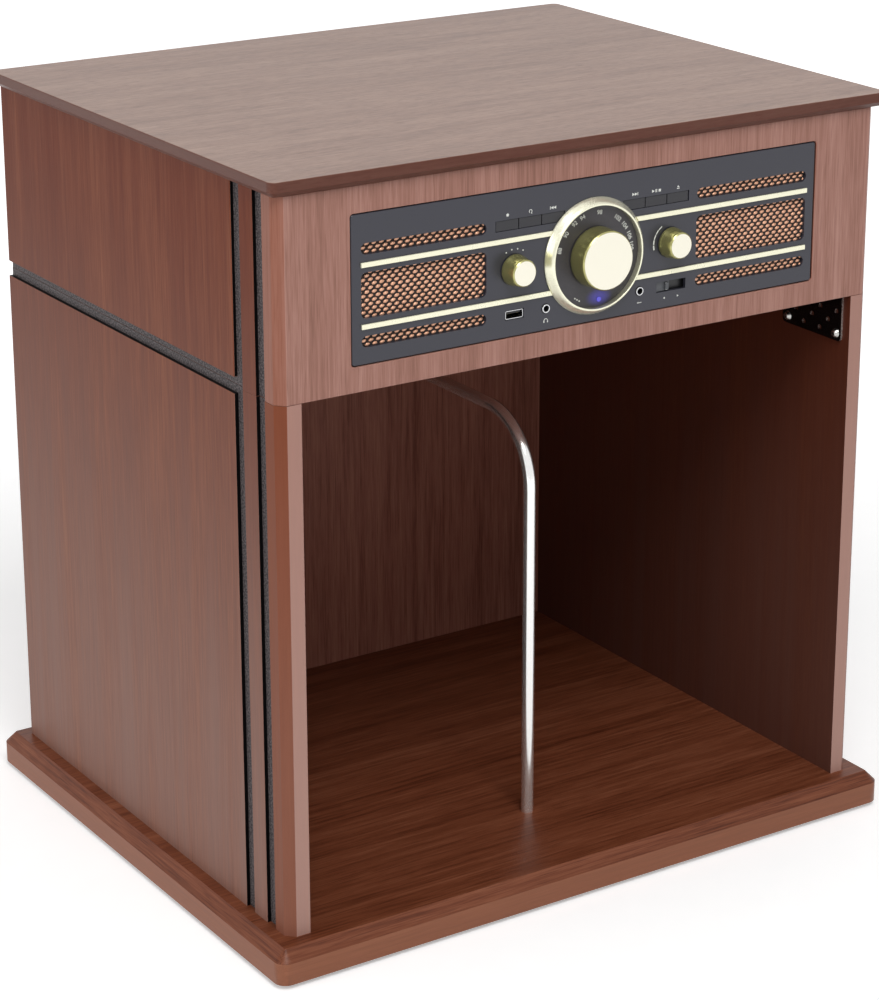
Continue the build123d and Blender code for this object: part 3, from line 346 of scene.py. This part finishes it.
def dial_material():
    """Satin dark dial with a violet glow round the lamp."""
    made, tree, shader = blank("dial_black")
    where = axes(tree)
    lamp_low, lamp_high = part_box("power_lamp")
    x = calc(tree, "SUBTRACT", where["X"], (lamp_low.x + lamp_high.x) / 2)
    z = calc(tree, "SUBTRACT", where["Z"], (lamp_low.z + lamp_high.z) / 2 + 1.5 * MM)
    radius = length_of(tree, calc(tree, "MULTIPLY", x, 0.6), z)
    glow = calc(tree, "SUBTRACT", 1.0, steps(tree, radius, 1.0 * MM, 6.5 * MM))
    grain = noise(tree, place(tree), 900, 3)
    base = mix(tree, grain, tone(46, 44, 50), tone(62, 58, 62))
    tree.links.new(base, shader.inputs["Base Color"])
    shader.inputs["Roughness"].default_value = 0.42
    shader.inputs["Emission Color"].default_value = tone(70, 60, 205)
    tree.links.new(calc(tree, "MULTIPLY", glow, 0.35), shader.inputs["Emission Strength"])
    bump(tree, shader, grain, 0.1, 0.00008)
    return made


def board_material():
    """Green lacquer on the boards, and black plastic on the switches in front of the panel's board."""
    made, tree, shader = blank("circuit_green")
    board_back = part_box("panel_board")[1].y
    switches = calc(tree, "LESS_THAN", axes(tree)["Y"], board_back - 1.7 * MM)
    tracks = noise(tree, place(tree), 600, 3)
    green = mix(tree, tracks, tone(26, 70, 42), tone(44, 104, 66))
    tree.links.new(mix(tree, switches, green, tone(20, 20, 22)), shader.inputs["Base Color"])
    shader.inputs["Roughness"].default_value = 0.35
    bump(tree, shader, tracks, 0.15, 0.0001)
    return made


def lamp_material():
    made, tree, shader = blank("lamp_lens")
    cells = noise(tree, place(tree), 2500, 2)
    tree.links.new(mix(tree, cells, tone(60, 55, 170), tone(120, 115, 235)), shader.inputs["Base Color"])
    shader.inputs["Emission Color"].default_value = tone(95, 85, 240)
    shader.inputs["Emission Strength"].default_value = 0.4
    shader.inputs["Roughness"].default_value = 0.15
    return made


def bracket_material():
    """Black-coated steel whose faces to the front and back are bright: a painted highlight along its edges."""
    made, tree, shader = blank("bracket_steel")
    shader.inputs["Metallic"].default_value = 0.8
    # Painted highlight: faces to the front and back in bright metal.
    edge = steps(tree, calc(tree, "ABSOLUTE", axes(tree, "Normal")["Y"]), 0.5, 0.8)
    speck = noise(tree, place(tree), 1800, 3)
    black = mix(tree, speck, tone(14, 12, 12), tone(40, 36, 36))
    tree.links.new(mix(tree, edge, black, tone(215, 212, 208)), shader.inputs["Base Color"])
    gloss(tree, shader, speck, 0.16, 0.34)
    bump(tree, shader, speck, 0.12, 0.0001)
    return made


def mat_material():
    """Slipmat felt with pressed rings round the spindle."""
    made, tree, shader = blank("mat_felt")
    low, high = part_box("slipmat")
    where = axes(tree)
    x = calc(tree, "SUBTRACT", where["X"], (low.x + high.x) / 2)
    y = calc(tree, "SUBTRACT", where["Y"], (low.y + high.y) / 2)
    radius = length_of(tree, x, y)
    rings = calc(tree, "SINE", calc(tree, "MULTIPLY", radius, 2 * pi / (6 * MM)))
    fibres = noise(tree, place(tree), 1500, 4)
    tree.links.new(mix(tree, fibres, tone(28, 28, 30), tone(52, 51, 54)), shader.inputs["Base Color"])
    shader.inputs["Roughness"].default_value = 0.9
    shader.inputs["Sheen Weight"].default_value = 0.3
    bump(tree, shader, calc(tree, "ADD", rings, fibres), 0.5, 0.0004)
    return made


def bead_material():
    """Bronze thread, lighter on some beads than on others."""
    made, tree, shader = blank("grille_bronze")
    shader.inputs["Metallic"].default_value = 0.55
    patches = noise(tree, place(tree), 160, 3)
    tree.links.new(mix(tree, patches, tone(196, 142, 112), tone(236, 186, 156)), shader.inputs["Base Color"])
    shader.inputs["Roughness"].default_value = 0.38
    twist = noise(tree, place(tree, (1, 1, 2)), 3000, 2)
    bump(tree, shader, twist, 0.3, 0.0001)
    return made


# Materials, by the record's slots
# A darker orange-brown for the chamfers and the front strip of the side boards.
EDGE_BROWN = tone(134, 72, 46)
looks = {
    # The lid's pale greyish top is partly the wood's own colour and partly painted sheen; its rim is the
    # darker brown.
    "lid_veneer": veneer("lid_veneer", tone(118, 92, 82), tone(148, 119, 106), tone(166, 138, 124), "X",
                         "Y", 0.09, 0.8, 0.36, edge=tone(84, 36, 22), edge_share=0.85, seed=0.31),
    # The cabinet foil's front tint and its foot and top tints are painted light.
    "cabinet_veneer": veneer("cabinet_veneer", tone(82, 36, 18), tone(124, 70, 48), tone(156, 98, 70), "Z",
                             "X", 0.03, 0.35, 0.42, edge=EDGE_BROWN, front=tone(204, 162, 150),
                             foot_sheen_top_shade=(tone(154, 123, 113), tone(100, 36, 8)), grooved=True, level=0.08),
    # The fascia's lighter, pinker tones are partly its own colour and partly a painted haze of reflected
    # light.
    "front_veneer": veneer("front_veneer", tone(138, 97, 84), tone(164, 119, 106), tone(182, 138, 126), "Z",
                           "X", 0.03, 0.6, 0.4, edge=EDGE_BROWN, grooved=True, seed=0.57),
    "base_veneer": veneer("base_veneer", tone(78, 36, 20), tone(114, 62, 40), tone(138, 84, 60), "X", "Y",
                          0.03, 0.5, 0.36, edge=tone(164, 108, 82), edge_from=0.4, seed=0.83),
    "inner_board": veneer("inner_board", tone(118, 70, 57), tone(156, 101, 85), tone(176, 121, 102), "Z",
                          "X", 0.03, 0.5, 0.42, seed=1.1),
    "panel_black": plastic("panel_black", tone(50, 50, 60), 0.33, 1100, 0.05),
    "champagne_trim": metal("champagne_trim", tone(244, 241, 214), 0.3, None, 0.01, 0.5, 0.97),
    "bezel_metal": metal("bezel_metal", tone(238, 236, 212), 0.24, None, 0.01, 0.7, 0.96),
    "dial_black": dial_material(),
    "button_black": plastic("button_black", tone(34, 33, 39), 0.36, 1100, 0.06),
    "slider_black": plastic("slider_black", tone(78, 80, 84), 0.4),
    "lamp_lens": lamp_material(),
    "grille_cloth": cloth("grille_cloth", tone(16, 10, 8), tone(48, 26, 18)),
    "socket_shell": plastic("socket_shell", tone(26, 26, 28), 0.38),
    "bent_tube": metal("bent_tube", tone(247, 246, 244), 0.18, None, 0.01, 0.84, 0.95),
    "bracket_steel": bracket_material(),
    "screw_steel": metal("screw_steel", tone(190, 188, 184), 0.25),
    "pad_rubber": plastic("pad_rubber", tone(34, 34, 34), 0.8, 900, 0.3),
    "speaker_steel": metal("speaker_steel", tone(60, 60, 62), 0.4),
    "cone_paper": plastic("cone_paper", tone(34, 33, 33), 0.85, 700, 0.5),
    "circuit_green": board_material(),
    "control_steel": metal("control_steel", tone(190, 190, 188), 0.3, "X"),
    "transformer_core": metal("transformer_core", tone(92, 86, 80), 0.5, "X", 0.2),
    "deck_black": plastic("deck_black", tone(42, 41, 43), 0.45, 800, 0.35),
    "spindle_steel": metal("spindle_steel", tone(226, 226, 228), 0.1),
    "motor_can": metal("motor_can", tone(180, 178, 172), 0.3),
    "belt_rubber": plastic("belt_rubber", tone(26, 26, 26), 0.7),
    "pulley_brass": metal("pulley_brass", tone(214, 176, 100), 0.2),
    "platter_metal": metal("platter_metal", tone(196, 196, 198), 0.24, "X", 0.08),
    "mat_felt": mat_material(),
    "arm_metal": metal("arm_metal", tone(214, 214, 216), 0.16),
    "arm_base_black": plastic("arm_base_black", tone(36, 36, 38), 0.35),
    "cartridge_black": plastic("cartridge_black", tone(22, 22, 25), 0.25),
    "hinge_steel": metal("hinge_steel", tone(196, 188, 168), 0.25, "X"),
    "bead_bronze": bead_material(),
    "print_white": plastic("print_white", tone(236, 238, 232), 0.5, 900, 0.05),
    "ring_red": plastic("ring_red", tone(170, 30, 28), 0.35),
    "ring_white": plastic("ring_white", tone(225, 224, 220), 0.35),
    "contact_gold": metal("contact_gold", tone(225, 190, 110), 0.2),
    "slot_dark": plastic("slot_dark", tone(12, 12, 13), 0.5),
    "stem_steel": metal("stem_steel", tone(205, 205, 208), 0.22),
}
slot_of = {part["node"]: part["material_slot"] for part in frame["record"]["subparts"]}


def dress(obj, look):
    obj.data.materials.clear()
    obj.data.materials.append(looks[look])


def round_edges(obj, width):
    """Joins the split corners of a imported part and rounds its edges."""
    weld = obj.modifiers.new("join", "WELD")
    weld.merge_threshold = 0.01 * MM
    bevel = obj.modifiers.new("edges", "BEVEL")
    bevel.width = width
    bevel.segments = 2
    bevel.limit_method = "ANGLE"
    bevel.angle_limit = radians(32)
    bevel.harden_normals = True


def piece(name, mesh, look, body="cabinet"):
    """Adds a mesh as a piece that rides on a body."""
    obj = bpy.data.objects.new(name, mesh)
    bpy.context.scene.collection.objects.link(obj)
    dress(obj, look)
    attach(obj, body)
    return obj


def mesh_of(name, build):
    """A mesh made by a function that fills a bmesh."""
    work = bmesh.new()
    build(work)
    mesh = bpy.data.meshes.new(name)
    work.to_mesh(mesh)
    work.free()
    return mesh


def smooth(obj):
    """Smooth shading up to corners of 40 degrees."""
    for polygon in obj.data.polygons:
        polygon.use_smooth = True
    obj.data.set_sharp_from_angle(angle=radians(40))


def dress_parts():
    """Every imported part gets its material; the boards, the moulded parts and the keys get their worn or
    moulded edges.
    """
    special = {"fascia_frame": "front_veneer", "tuning_knob": "tuning", "function_knob": "function",
               "volume_knob": "volume", "dial_bezel": "bezel_metal"}
    for name, x in (("tuning", 0.0), ("function", -SMALL_KNOB_X), ("volume", SMALL_KNOB_X)):
        # Pale front and olive side of each knob: painted reflection on one champagne metal.
        looks[name] = spun("knob_" + name, tone(229, 225, 209), tone(172, 168, 112), x)
    for name, obj in nodes.items():
        dress(obj, special.get(name, slot_of[name]))
    board_edge = 0.5 * MM
    moulded_edge = 0.25 * MM
    key_edge = 0.2 * MM
    for name in ("stand_left_panel", "stand_right_panel", "unit_left_panel", "unit_right_panel",
                 "fascia_frame", "base_plinth"):
        round_edges(nodes[name], board_edge)
    for name in ("control_panel", "dial_bezel", "trim_strips", "mode_slider", "tuning_knob",
                 "function_knob", "volume_knob"):
        round_edges(nodes[name], moulded_edge)
    for name in nodes:
        if name.endswith("_button"):
            round_edges(nodes[name], key_edge)


def grille_beads(side):
    """Rows of slanting beads in the three slots of one side."""
    pitch_x = 5.0 * MM
    pitch_z = 2.4 * MM
    half = Vector((1.75 * MM, 0.75 * MM, 1.15 * MM))
    tilt = Matrix.Rotation(radians(-14), 3, "Y")
    y = cloth_low.y - 0.15 * MM
    around = 8
    rings = [(-1.0, 0.0), (-0.8, 0.6), (0.0, 1.0), (0.8, 0.6), (1.0, 0.0)]
    turns = [2 * pi * k / around for k in range(around)]
    shape = [tilt @ Vector((a * half.x, r * sin(turn) * half.y, r * cos(turn) * half.z))
             for a, r in rings for turn in turns]
    quads = []
    for i in range(len(rings) - 1):
        for k in range(around):
            j = (k + 1) % around
            quads.append((i * around + k, i * around + j, (i + 1) * around + j, (i + 1) * around + k))
    points, faces = [], []
    slots = ((ROW_Z - ROW_STEP, SLOT_H), (ROW_Z, GRILLE_H), (ROW_Z + ROW_STEP, SLOT_H))
    for z_middle, height in slots:
        rows = int(height / pitch_z) + 1
        for row in range(rows):
            z = z_middle + (row - (rows - 1) / 2) * pitch_z
            count = int(GRILLE_W / pitch_x) + 1 - row % 2
            for k in range(count):
                centre = Vector((side * GRILLE_X + (k - (count - 1) / 2) * pitch_x, y, z))
                faces += [tuple(len(points) + i for i in quad) for quad in quads]
                points += [centre + p for p in shape]
    name = "grille_beads_" + ("right" if side > 0 else "left")
    mesh = bpy.data.meshes.new(name)
    mesh.from_pydata(points, [], faces)
    work = bmesh.new()
    work.from_mesh(mesh)
    bmesh.ops.remove_doubles(work, verts=work.verts, dist=0.001 * MM)
    bmesh.ops.recalc_face_normals(work, faces=work.faces)
    work.to_mesh(mesh)
    work.free()
    obj = piece(name, mesh, "bead_bronze")
    for polygon in obj.data.polygons:
        polygon.use_smooth = True


def flat(points, y, thickness=0.12 * MM):
    """A thin printed shape facing the front, from points of X and Z."""
    def build(work):
        front = [work.verts.new((x, y - thickness, z)) for x, z in points]
        back = [work.verts.new((x, y, z)) for x, z in points]
        work.faces.new(front)
        work.faces.new(list(reversed(back)))
        for k in range(len(points)):
            j = (k + 1) % len(points)
            work.faces.new((front[j], front[k], back[k], back[j]))
        bmesh.ops.recalc_face_normals(work, faces=work.faces)
    return build


def triangle(x, z, size, direction):
    """A play mark pointing along X."""
    return [(x - direction * size / 2, z - size / 2), (x + direction * size / 2, z),
            (x - direction * size / 2, z + size / 2)]


def bar(x, z, w, h):
    return [(x - w / 2, z - h / 2), (x + w / 2, z - h / 2), (x + w / 2, z + h / 2), (x - w / 2, z + h / 2)]


def disc(x, z, r, count=16):
    return [(x + r * cos(2 * pi * k / count), z + r * sin(2 * pi * k / count)) for k in range(count)]


def arc_band(x, z, r_in, r_out, start, end, count=14):
    """Part of a ring between two angles in degrees."""
    angles = [radians(start + (end - start) * k / count) for k in range(count + 1)]
    outer = [(x + r_out * cos(a), z + r_out * sin(a)) for a in angles]
    inner = [(x + r_in * cos(a), z + r_in * sin(a)) for a in reversed(angles)]
    return outer + inner


def panel_marks():
    """Plain white marks by the controls: usual signs for play and such, dots, arcs, no words."""
    size = 1.9 * MM
    shapes = key_signs(ROW_Z + ROW_STEP + 6.2 * MM, size)
    dots_r = 12.4 * MM
    for k in range(4):
        angle = radians(118 - k * 19)
        x = -SMALL_KNOB_X + dots_r * cos(angle)
        shapes.append(disc(x, ROW_Z + dots_r * sin(angle), 0.45 * MM, 10))
    arc_r = 12.2 * MM
    for k in range(5):
        start = 122 + k * 15
        width = (0.55 + 0.1 * k) * MM
        shapes.append(arc_band(SMALL_KNOB_X, ROW_Z, arc_r, arc_r + width, start, start + 13, 5))
    z = ROW_Z - ROW_STEP - 7.2 * MM
    shapes.append(arc_band(-JACK_X, z - 0.4 * MM, 1.15 * MM, 1.5 * MM, 0, 180, 12))
    for side in (-1, 1):
        shapes.append(bar(-JACK_X + side * 1.3 * MM, z - 0.8 * MM, 0.7 * MM, 1.2 * MM))
    shapes.append(bar(JACK_X, z, 3.2 * MM, 0.35 * MM))
    shapes.append(triangle(JACK_X - 1.4 * MM, z, 1.2 * MM, -1))
    for x, direction in ((53 * MM, -1), (63.5 * MM, 1)):
        shapes.append(triangle(x, z, 1.3 * MM, direction))

    def build(work):
        for points in shapes:
            flat(points, PANEL_Y)(work)
    piece("panel_marks", mesh_of("panel_marks", build), "print_white")


def key_signs(z, size):
    """Signs over the six keys: record, repeat, previous, next, play or pause and stop, folder."""
    x = [-BUTTON_END_X + (k + 0.5) * BUTTON_PITCH for k in range(3)]
    x += [-place for place in reversed(x)]
    shapes = [disc(x[0], z, size / 2)]
    shapes.append(arc_band(x[1], z, size * 0.42, size * 0.62, -60, 230))
    shapes.append(triangle(x[1] + size * 0.3, z - size * 0.55, size * 0.5, -1))
    for middle, direction in ((x[2], -1), (x[3], 1)):
        for shift in (-0.5, 0.5):
            shapes.append(triangle(middle + shift * size, z, size, direction))
        shapes.append(bar(middle + direction * size * 1.15, z, size * 0.22, size))
    shapes.append(triangle(x[4] - size * 1.3, z, size, 1))
    for shift in (-0.35, 0.05):
        shapes.append(bar(x[4] + shift * size, z, size * 0.25, size))
    shapes.append(bar(x[4] + size * 1.2, z, size * 0.85, size * 0.85))
    shapes.append([(x[5] - size / 2, z), (x[5] + size / 2, z), (x[5], z + size * 0.6)])
    shapes.append(bar(x[5], z - size * 0.4, size, size * 0.25))
    return shapes


def printed(name, texts, extra=None):
    """Plain numbers printed on a face: each with its size and its place and turn; extra adds other marks."""
    letters = []
    for words, size, matrix in texts:
        curve = bpy.data.curves.new(f"{name}_{words}", "FONT")
        curve.body = words
        curve.size = size
        curve.align_x = "CENTER"
        curve.align_y = "CENTER"
        curve.extrude = 0.05 * MM
        obj = bpy.data.objects.new(curve.name, curve)
        bpy.context.scene.collection.objects.link(obj)
        obj.matrix_world = matrix
        letters.append(obj)
    bpy.context.view_layer.update()
    depsgraph = bpy.context.evaluated_depsgraph_get()
    work = bmesh.new()
    for obj in letters:
        made = bpy.data.meshes.new_from_object(obj.evaluated_get(depsgraph))
        made.transform(obj.matrix_world)
        work.from_mesh(made)
        bpy.data.meshes.remove(made)
        bpy.data.objects.remove(obj)
    if extra:
        extra(work)
    mesh = bpy.data.meshes.new(name)
    work.to_mesh(mesh)
    work.free()
    piece(name, mesh, "print_white")


def dial_numbers():
    """Frequency numbers round the dial, each at its angle in degrees, and three dots below."""
    numbers = {88: 165, 90: 143, 92: 125, 94: 111, 98: 84, 102: 53, 104: 37, 106: 21, 108: 6}
    radius = 26.6 * MM
    height = 3.9 * MM
    upright = Matrix.Rotation(radians(90), 4, "X")
    texts = []
    for number, degrees in numbers.items():
        angle = radians(degrees)
        turn = Matrix.Rotation(pi / 2 - angle, 4, "Y")
        where = Vector((radius * cos(angle), DIAL_Y - PRINT_LIFT, ROW_Z + radius * sin(angle)))
        texts.append((str(number), height, Matrix.Translation(where) @ turn @ upright))

    def dots(work):
        dot = 0.9 * MM
        for k in range(3):
            x = (-14.5 + k * 1.6) * MM
            flat(bar(x, ROW_Z - (24 + k) * MM, dot, dot), DIAL_Y)(work)
    printed("dial_numbers", texts, dots)


def speed_numbers():
    """The three usual speeds round the selector on the deck, at their angles in degrees."""
    low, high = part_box("speed_selector")
    deck_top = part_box("deck_cleats")[1].z + DECK_T
    middle = Vector(((low.x + high.x) / 2, (low.y + high.y) / 2, deck_top + PRINT_LIFT))
    radius = 15.5 * MM
    height = 4.2 * MM
    texts = []
    for speed, degrees in ((33, -30), (45, 0), (78, 30)):
        angle = radians(degrees)
        where = middle + Vector((sin(angle), -cos(angle), 0)) * radius
        texts.append((str(speed), height, Matrix.Translation(where) @ Matrix.Rotation(angle, 4, "Z")))
    printed("speed_numbers", texts)


def screw_heads(name, places, direction, r):
    """Domed screw heads that look along direction, each with a dark cross slot."""
    turn = Vector(direction).to_track_quat("Z", "Y").to_matrix()
    around = 20
    rings = [(1.0, 0.0), (0.93, 0.14), (0.62, 0.28)]
    tip_height = 0.36
    slot_length, slot_width, slot_middle, slot_depth = 1.1, 0.22, 0.32, 0.1

    def at(place, x, y, z):
        return Vector(place) + turn @ Vector((x * r, y * r, z * r))

    def domes(work):
        for place in places:
            loops = []
            for a, h in rings:
                angles = [2 * pi * k / around for k in range(around)]
                loops.append([work.verts.new(at(place, a * cos(v), a * sin(v), h)) for v in angles])
            tip = work.verts.new(at(place, 0, 0, tip_height))
            for k in range(around):
                j = (k + 1) % around
                for lower, upper in zip(loops, loops[1:]):
                    work.faces.new((lower[k], lower[j], upper[j], upper[k]))
                work.faces.new((loops[-1][k], loops[-1][j], tip))
            work.faces.new(list(reversed(loops[0])))
        bmesh.ops.recalc_face_normals(work, faces=work.faces)

    def slots(work):
        for place in places:
            for wide, deep in ((slot_length, slot_width), (slot_width, slot_length)):
                made = bmesh.ops.create_cube(work, size=1.0)
                for v in made["verts"]:
                    v.co = at(place, v.co.x * wide, v.co.y * deep, slot_middle + v.co.z * slot_depth)
    smooth(piece(name, mesh_of(name, domes), "screw_steel"))
    piece(name + "_slots", mesh_of(name + "_slots", slots), "slot_dark")


def bracket_heads():
    """Heads on the screws of the four corner brackets."""
    low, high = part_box("corner_brackets")
    head = 3.3 * MM
    r = 2.2 * MM
    side_places, under_places = {-1: [], 1: []}, []
    for y0 in (low.y, high.y - BRACKET_LEN):
        for side in (-1, 1):
            for step in (5 * MM, 53 * MM):
                side_places[side].append((side * (high.x - head), y0 + step, low.z + 5 * MM))
            for step in (21 * MM, 53 * MM):
                under_places.append((side * (high.x - 27 * MM), y0 + step, high.z - head))
    screw_heads("bracket_heads_left", side_places[-1], (1, 0, 0), r)
    screw_heads("bracket_heads_right", side_places[1], (-1, 0, 0), r)
    screw_heads("bracket_heads_under", under_places, (0, 0, -1), r)


def hinge_and_deck_heads():
    """Screws of the hinge leaves on the unit's back, and of the deck."""
    low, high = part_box("fixed_hinge_leaves")
    y = unit_high.y + 1.2 * MM
    middle = high.x - 18 * MM
    places = [(side * (middle + across), y, low.z + up)
              for side in (-1, 1) for across in (-12 * MM, 12 * MM) for up in (5 * MM, 13 * MM)]
    screw_heads("hinge_screw_heads", places, (0, 1, 0), 2.1 * MM)
    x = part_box("deck_plate")[1].x - 7 * MM
    low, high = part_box("deck_cleats")
    inset = 12 * MM
    places = [(side * x, y, high.z + DECK_T) for side in (-1, 1) for y in (low.y + inset, high.y - inset)]
    screw_heads("deck_screw_heads", places, (0, 0, 1), 2.6 * MM)


def turned(name, x, z, profile, look, count):
    """A turned ring facing along Y, from its profile of radius and Y."""
    def build(work):
        loops = []
        for k in range(count):
            a = 2 * pi * k / count
            loops.append([work.verts.new((x + r * cos(a), y, z + r * sin(a))) for r, y in profile])
        for k in range(count):
            j = (k + 1) % count
            for i in range(len(profile)):
                n = (i + 1) % len(profile)
                work.faces.new((loops[k][i], loops[j][i], loops[j][n], loops[k][n]))
        bmesh.ops.recalc_face_normals(work, faces=work.faces)
    smooth(piece(name, mesh_of(name, build), look))


def box_into(work, low, high):
    made = bmesh.ops.create_cube(work, size=1.0)
    for v in made["verts"]:
        v.co = Vector([low[i] if v.co[i] < 0 else high[i] for i in range(3)])


def sockets():
    """Rings round the jack sockets, and the metal lining and contacts of the memory socket."""
    z = ROW_Z - ROW_STEP
    front = PANEL_Y - 0.65 * MM
    back = front + 0.6 * MM
    r_in, r_out = 1.9 * MM, 2.75 * MM
    profile = [(r_in, back), (r_in, front + 0.2 * MM), (r_in + 0.15 * MM, front), (r_out - 0.2 * MM, front),
               (r_out, front + 0.25 * MM), (r_out, back)]
    for side, name in ((-1, "left"), (1, "right")):
        turned(f"jack_ring_{name}", side * JACK_X, z, profile, "stem_steel", 40)

    def lining(work):
        w = 6.2 * MM
        h = 2.5 * MM
        t = 0.35 * MM
        y0 = PANEL_Y + 0.3 * MM
        y1 = PANEL_Y + 6 * MM
        x = -MEMORY_X
        box_into(work, (x - w, y0, z + h - t), (x + w, y1, z + h))
        box_into(work, (x - w, y0, z - h), (x + w, y1, z - h + t))
        box_into(work, (x - w, y0, z - h), (x - w + t, y1, z + h))
        box_into(work, (x + w - t, y0, z - h), (x + w, y1, z + h))
    piece("memory_lining", mesh_of("memory_lining", lining), "stem_steel")

    def contacts(work):
        half = 0.5 * MM
        for k in range(4):
            x = -MEMORY_X + (k - 1.5) * 2.2 * MM
            box_into(work, (x - half, PANEL_Y + 2.4 * MM, z + 0.15 * MM),
                     (x + half, PANEL_Y + 7 * MM, z + 0.3 * MM))
    piece("memory_contacts", mesh_of("memory_contacts", contacts), "contact_gold")


def slider_nib():
    """Light nib on the mode slider."""
    low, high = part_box("mode_slider")
    inset = 0.9 * MM

    def build(work):
        box_into(work, (high.x - 3.5 * MM, low.y + 0.02 * MM, low.z + inset),
                 (high.x - 2.4 * MM, low.y + 0.6 * MM, high.z - inset))
    mesh = mesh_of("slider_mark", build)
    piece("slider_mark", mesh, "ring_white", "mode_slider_body")


def rear_rings():
    """Coloured rings round the two line sockets."""
    z = SEAM_Z + LINE_UP
    front = unit_high.y + 1.5 * MM
    back = unit_high.y + 2.6 * MM
    r_in, r_out = 4.05 * MM, 5.6 * MM
    profile = [(r_in, front), (r_out, front), (r_out, back), (r_in, back)]
    for k, look in enumerate(("ring_white", "ring_red")):
        turned(f"line_ring_{k}", LINE_X + k * LINE_STEP, z, profile, look, 32)


def seen_directly(tree):
    """1 for what the camera, a reflection or a clear part sees, 0 for the light that falls on things."""
    seen = add(tree, "LightPath").outputs
    direct = calc(tree, "MAXIMUM", seen["Is Camera Ray"], seen["Is Glossy Ray"])
    return calc(tree, "MAXIMUM", direct, seen["Is Transmission Ray"])


def studio():
    """Pale floor, soft lamps and a light surround."""
    floor_size = 6.0
    grid = mesh_of("floor", lambda work: bmesh.ops.create_grid(work, x_segments=1, y_segments=1,
                                                               size=floor_size))
    floor = bpy.data.objects.new("floor", grid)
    bpy.context.scene.collection.objects.link(floor)
    made, tree, shader = blank("floor_paper")
    fibres = noise(tree, place(tree), 60, 2)
    paper = mix(tree, fibres, tone(236, 236, 236), tone(242, 242, 242))
    tree.links.new(paper, shader.inputs["Base Color"])
    shader.inputs["Roughness"].default_value = 0.9
    shader.inputs["Specular IOR Level"].default_value = 0.1
    shader.inputs["Emission Color"].default_value = (1, 1, 1, 1)
    away = add(tree, "VectorMath", {0: place(tree)}, operation="LENGTH").outputs["Value"]
    glow = add(tree, "MapRange", {"Value": away, "From Min": 0.45, "From Max": 1.5, "To Min": 0.38,
                                  "To Max": 0.8}, interpolation_type="SMOOTHSTEP").outputs["Result"]
    strength = calc(tree, "MULTIPLY", seen_directly(tree), glow)
    tree.links.new(strength, shader.inputs["Emission Strength"])
    floor.data.materials.append(made)

    world = bpy.data.worlds.new("surround")
    bpy.context.scene.world = world
    world.use_nodes = True
    tree = world.node_tree
    background = tree.nodes["Background"]
    background.inputs["Color"].default_value = (1, 1, 1, 1)
    strength = add(tree, "MapRange", {"Value": seen_directly(tree), "To Min": 0.36, "To Max": 1.0})
    tree.links.new(strength.outputs["Result"], background.inputs["Strength"])

    lamps = [
        ("key", (-0.6, -1.6, 2.4), (0.0, 0.0, 0.3), 1.2, 38),
        ("side", (-2.4, -0.2, 0.9), (0.0, 0.0, 0.2), 1.6, 13),
        ("top", (0.3, 0.4, 2.6), (0.0, 0.0, 0.4), 1.6, 4),
    ]
    for name, where, target, size, power in lamps:
        data = bpy.data.lights.new(name, "AREA")
        data.shape = "SQUARE"
        data.size = size
        data.energy = power
        lamp = bpy.data.objects.new(name, data)
        bpy.context.scene.collection.objects.link(lamp)
        lamp.location = where
        lamp.rotation_euler = (Vector(target) - Vector(where)).to_track_quat("-Z", "Y").to_euler()


def camera():
    """The photograph's viewpoint, with a small upward shift of the lens for its upright edges."""
    yaw, pitch, roll = radians(CAMERA_YAW), radians(CAMERA_PITCH), radians(CAMERA_ROLL)
    forward = Vector((sin(yaw) * cos(pitch), cos(yaw) * cos(pitch), -sin(pitch)))
    level = Vector((cos(yaw), -sin(yaw), 0.0))
    up = level.cross(forward)
    right = level * cos(roll) + up * sin(roll)
    top = up * cos(roll) - level * sin(roll)
    data = bpy.data.cameras.new("camera")
    data.sensor_width = SENSOR_MM
    data.lens = FOCAL_PX / IMAGE_H * SENSOR_MM
    data.shift_x = (IMAGE_W / 2 - CENTRE_PX[0]) / IMAGE_H
    data.shift_y = (CENTRE_PX[1] - IMAGE_H / 2) / IMAGE_H
    data.clip_start = 0.05
    data.clip_end = 50
    obj = bpy.data.objects.new("camera", data)
    bpy.context.scene.collection.objects.link(obj)
    turn = Matrix((right, top, -forward)).transposed().to_4x4()
    obj.matrix_world = Matrix.Translation(CAMERA_PLACE) @ turn
    bpy.context.scene.camera = obj


dress_parts()
grille_beads(-1)
grille_beads(1)
panel_marks()
dial_numbers()
speed_numbers()
bracket_heads()
hinge_and_deck_heads()
sockets()
slider_nib()
rear_rings()
studio()
camera()
bpy.context.scene.view_settings.view_transform = "Standard"
